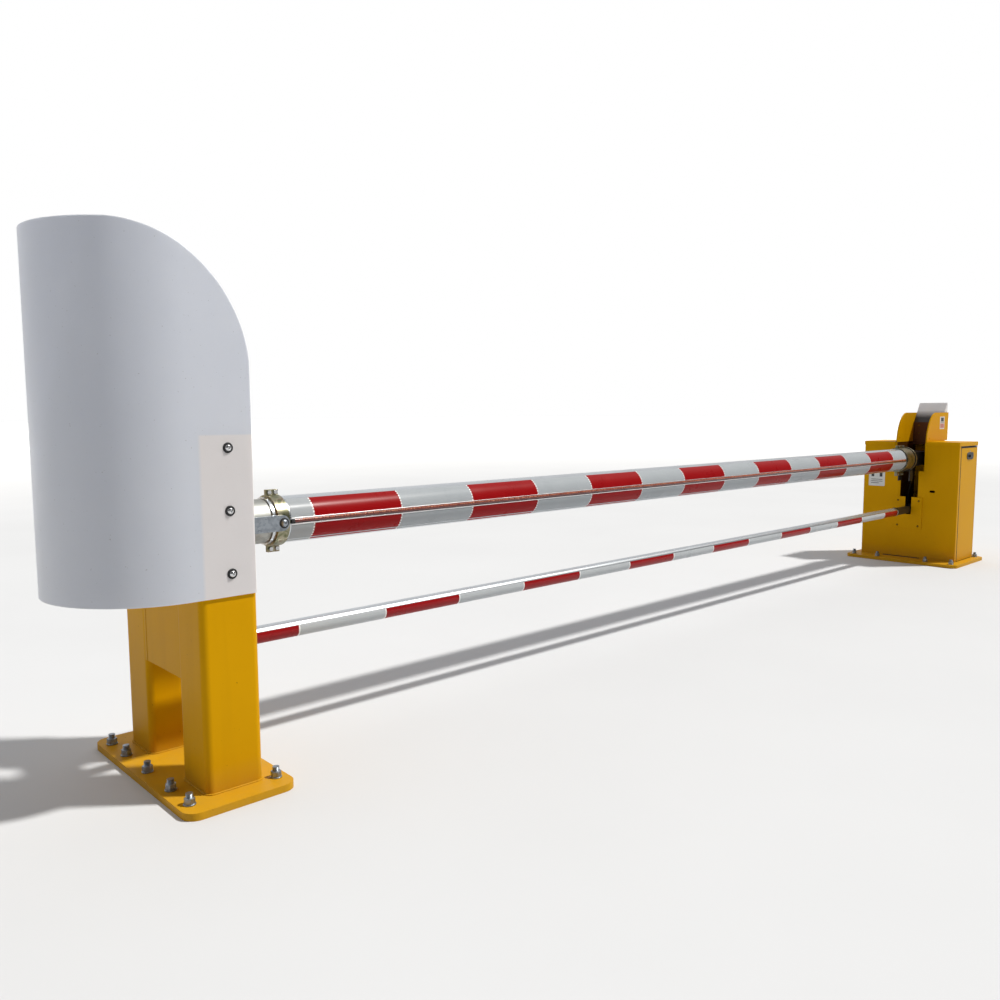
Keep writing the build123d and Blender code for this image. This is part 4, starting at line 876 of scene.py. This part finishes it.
rows = both_sides(rope_low.x + UNLIT_END, rope_high.x - UNLIT_END, bead_y, bead_z)
make(chains("boom_diodes", rows), diode_row, amber, "boom", "light_rope", Radius=DIODE_R, Spacing=DIODE_STEP)

# ---------------------------------------------------------------- Drip beads and groove lips on the boom
# A thin aluminium bead, part of the extrusion, runs along the lower part of each side over the tape. The
# lips of the groove are rubbed bright, and the lower one is the wider of the two.
white_low, white_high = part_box("boom_tape_white")
DRIP_TURN, DRIP_R, OVER_TAPE = math.radians(-52), 2.2 * MM, 0.4 * MM
lip_white = metal_finish("polished_extrusion_lip", "#FBFBFB", "#EDEDED", 0.34, 20 * MM)
for name, out, turn, radius, metal in (
        ("boom_drip_beads", OVER_TAPE, DRIP_TURN, DRIP_R, bare_aluminium),
        ("boom_groove_lower_lips", 0.0, math.radians(-6.6), 2.8 * MM, lip_white),
        ("boom_groove_upper_lips", 0.0, math.radians(7.4), 1.3 * MM, lip_white)):
    y, z = (boom_r + out) * math.cos(turn), boom_z + (boom_r + out) * math.sin(turn)
    make(chains(name, both_sides(white_low.x, white_high.x, y, z)), straight_strip, metal, "boom",
         "boom_aluminium", sharp=80, Radius=radius)

# ---------------------------------------------------------------- Clamps, bars, sleeve and catch head
# The two split clamps are zinc plated and yellow passivated, which shows as shifting gold, green and pink.
# The tongue bars and the catch head are hot-dip galvanised, and the sleeve is weathered aluminium.
passivated, tree, where = new_finish("yellow_passivated_zinc")
sheen = add(tree, "ShaderNodeTexNoise", {"Vector": where, "Scale": 26.0, "Detail": 3.0, "Distortion": 1.2})
hues = add(tree, "ShaderNodeValToRGB", {"Fac": sheen})
stops = ((0.30, "#5B6446"), (0.44, "#85836A"), (0.54, "#A19C86"), (0.62, "#8C7A68"), (0.72, "#6A7158"))
for i, (at, colour) in enumerate(stops):
    stop = hues.color_ramp.elements[i] if i < 2 else hues.color_ramp.elements.new(at)
    stop.position, stop.color = at, linear(colour)
rounding = add(tree, "ShaderNodeBevel", {"Radius": 1.5 * MM}, samples=4)
close_finish(tree, {"Base Color": hues, "Metallic": 1.0, "Roughness": 0.33, "Normal": rounding})
assign(passivated, "tip_clamp_halves", "butt_clamp_halves")
assign(galvanised, "tongue_bars", "catch_head")
bolt_low, bolt_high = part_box("tongue_bolt")
bar_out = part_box("tongue_bars")[1].y
BOLT_DOME, BOLT_WASHER, WASHER_T = 14.0 * MM, 20.0 * MM, 2.0 * MM
spots = [((bolt_low.x + bolt_high.x) / 2, side * bar_out, boom_z) for side in (-1, 1)]
spots = [(place, OUTWARD[-1 if place[1] < 0 else 1]) for place in spots]
make(points("tongue_bolt_washers", spots), cup_washer, rubber, "boom", "black_rubber", Radius=BOLT_WASHER,
     Height=WASHER_T)
spots = [((x, y + math.copysign(WASHER_T, y), z), turn) for (x, y, z), turn in spots]
tongue_heads = make(points("tongue_bolt_heads", spots), button_head, galvanised, "boom", "plated_fasteners",
                    Radius=BOLT_DOME, Height=9.0 * MM)
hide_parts("tongue_bolt")
butt_low, butt_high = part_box("butt_clamp_halves")
RING_OUT, RING_THICK = 10.0 * MM, 6.5 * MM
ring_r = boom_r - 2 * MM
circle = [Vector((butt_low.x - RING_OUT, ring_r * math.cos(math.radians(t)),
                  boom_z + ring_r * math.sin(math.radians(t)))) for t in range(0, 360, 6)]
SMOOTH_STEP = 30 * MM    # a bead this coarse shows no scallops, as on moulded rubber
make(chains("boom_butt_ring", [(circle, True)]), weld_bead, rubber, "boom", "black_rubber", sharp=80,
     Radius=RING_THICK, Ripple=SMOOTH_STEP)
FLANGE_R, FLANGE_FROM, FLANGE_T = 104.4 * MM, 29.5 * MM, 19.0 * MM
disc = [(FLANGE_R * math.cos(math.radians(t)), FLANGE_R * math.sin(math.radians(t)))
        for t in range(0, 360, 5)]
slab("hub_flange_rim", disc, FLANGE_T, (butt_high.x + FLANGE_FROM, 0, boom_z), (0, -1, 0), (0, 0, 1),
     passivated, "boom", edge=1.0 * MM)
assign(metal_finish("weathered_aluminium", "#A8A9A5", "#999A96", 0.52, 20 * MM), "tip_sleeve")

# ---------------------------------------------------------------- Doors and their locks
# Folded steel doors in the same powder coat hang on pins at the rear edge, each with a black
# quarter-turn lock on an oval plate, a screw above it, and a rubber seal inside its folded edge.
lock_black = enamel("black_die_cast_lock", "#1B1E20", "#33383A", 0.42, 1.2 * MM)
assign(lock_black, "door_lock_near", "door_lock_far")
SEAL_IN, SEAL_R, GAP, TOP_GAP = 7 * MM, 3 * MM, 4 * MM, 11.6 * MM
TRIM_W, TRIM_TOP, SCREW_UP = 9 * MM, 5 * MM, 40 * MM
LOCK_X, LOCK_Z, PLATE_W, PLATE_H, PLATE_T = 34 * MM, 905.4 * MM, 150 * MM, 60 * MM, 3.2 * MM
FOLD_IN, GAP_IN = 13 * MM, 14 * MM           # how far inside the door's face the seal and the gap strips sit
for side, name in ((-1, "near"), (1, "far")):
    low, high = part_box(f"door_{name}")
    outer = low.y if side < 0 else high.y
    across = (1, 0, 0) if side < 0 else (-1, 0, 0)
    lock_at = Vector((LOCK_X, outer, LOCK_Z))
    plate = rounded(PLATE_W, PLATE_H, 26 * MM, (5 * MM, 1 * MM), steps=8)
    slab(f"lock_plate_{name}", plate, PLATE_T, lock_at, across, (0, 0, 1), lock_black, f"{name}_door",
         edge=1.4 * MM)
    spots = [(lock_at + Vector((0, 0, SCREW_UP)), OUTWARD[side])]
    make(points(f"door_screw_{name}", spots), pan_head, plated, f"{name}_door", "plated_fasteners",
         Radius=7 * MM, Height=3.6 * MM)
    # Painted shade: a black strip on the door's front and top edges draws the dark shadow line of its gap.
    trim = [(low.x, low.z), (low.x + TRIM_W, low.z), (low.x + TRIM_W, high.z - TRIM_TOP),
            (high.x, high.z - TRIM_TOP), (high.x, high.z), (low.x, high.z)]
    slab(f"door_edge_shade_trim_{name}", [(across[0] * u, v) for u, v in trim], 0.6 * MM, (0, outer, 0), across,
         (0, 0, 1), rubber, f"{name}_door")
    # Painted shade: black strips set inside the door's front and top gaps darken them.
    gap_y = outer - side * GAP_IN
    gap_shade_strips = {"front": (GAP - 0.4 * MM, high.z - low.z, low.x - GAP / 2, (low.z + high.z) / 2),
              "top": (high.x - low.x, TOP_GAP - 0.6 * MM, (low.x + high.x) / 2, high.z + TOP_GAP / 2)}
    for part, (w, h, u, v) in gap_shade_strips.items():
        slab(f"door_gap_shade_strip_{name}_{part}", rounded(w, h, 1 * MM, (across[0] * u, v)), 5 * MM,
             (0, gap_y, 0), across, (0, 0, 1), rubber, "root")
    loop = [Vector((u, outer - side * FOLD_IN, v)) for u, v in rounded(
        high.x - low.x - 2 * SEAL_IN, high.z - low.z - 2 * SEAL_IN, 14 * MM,
        ((low.x + high.x) / 2, (low.z + high.z) / 2))]
    make(chains(f"door_seal_{name}", [(loop, True)]), weld_bead, rubber, f"{name}_door", "black_rubber",
         sharp=80, Radius=SEAL_R, Ripple=SMOOTH_STEP)
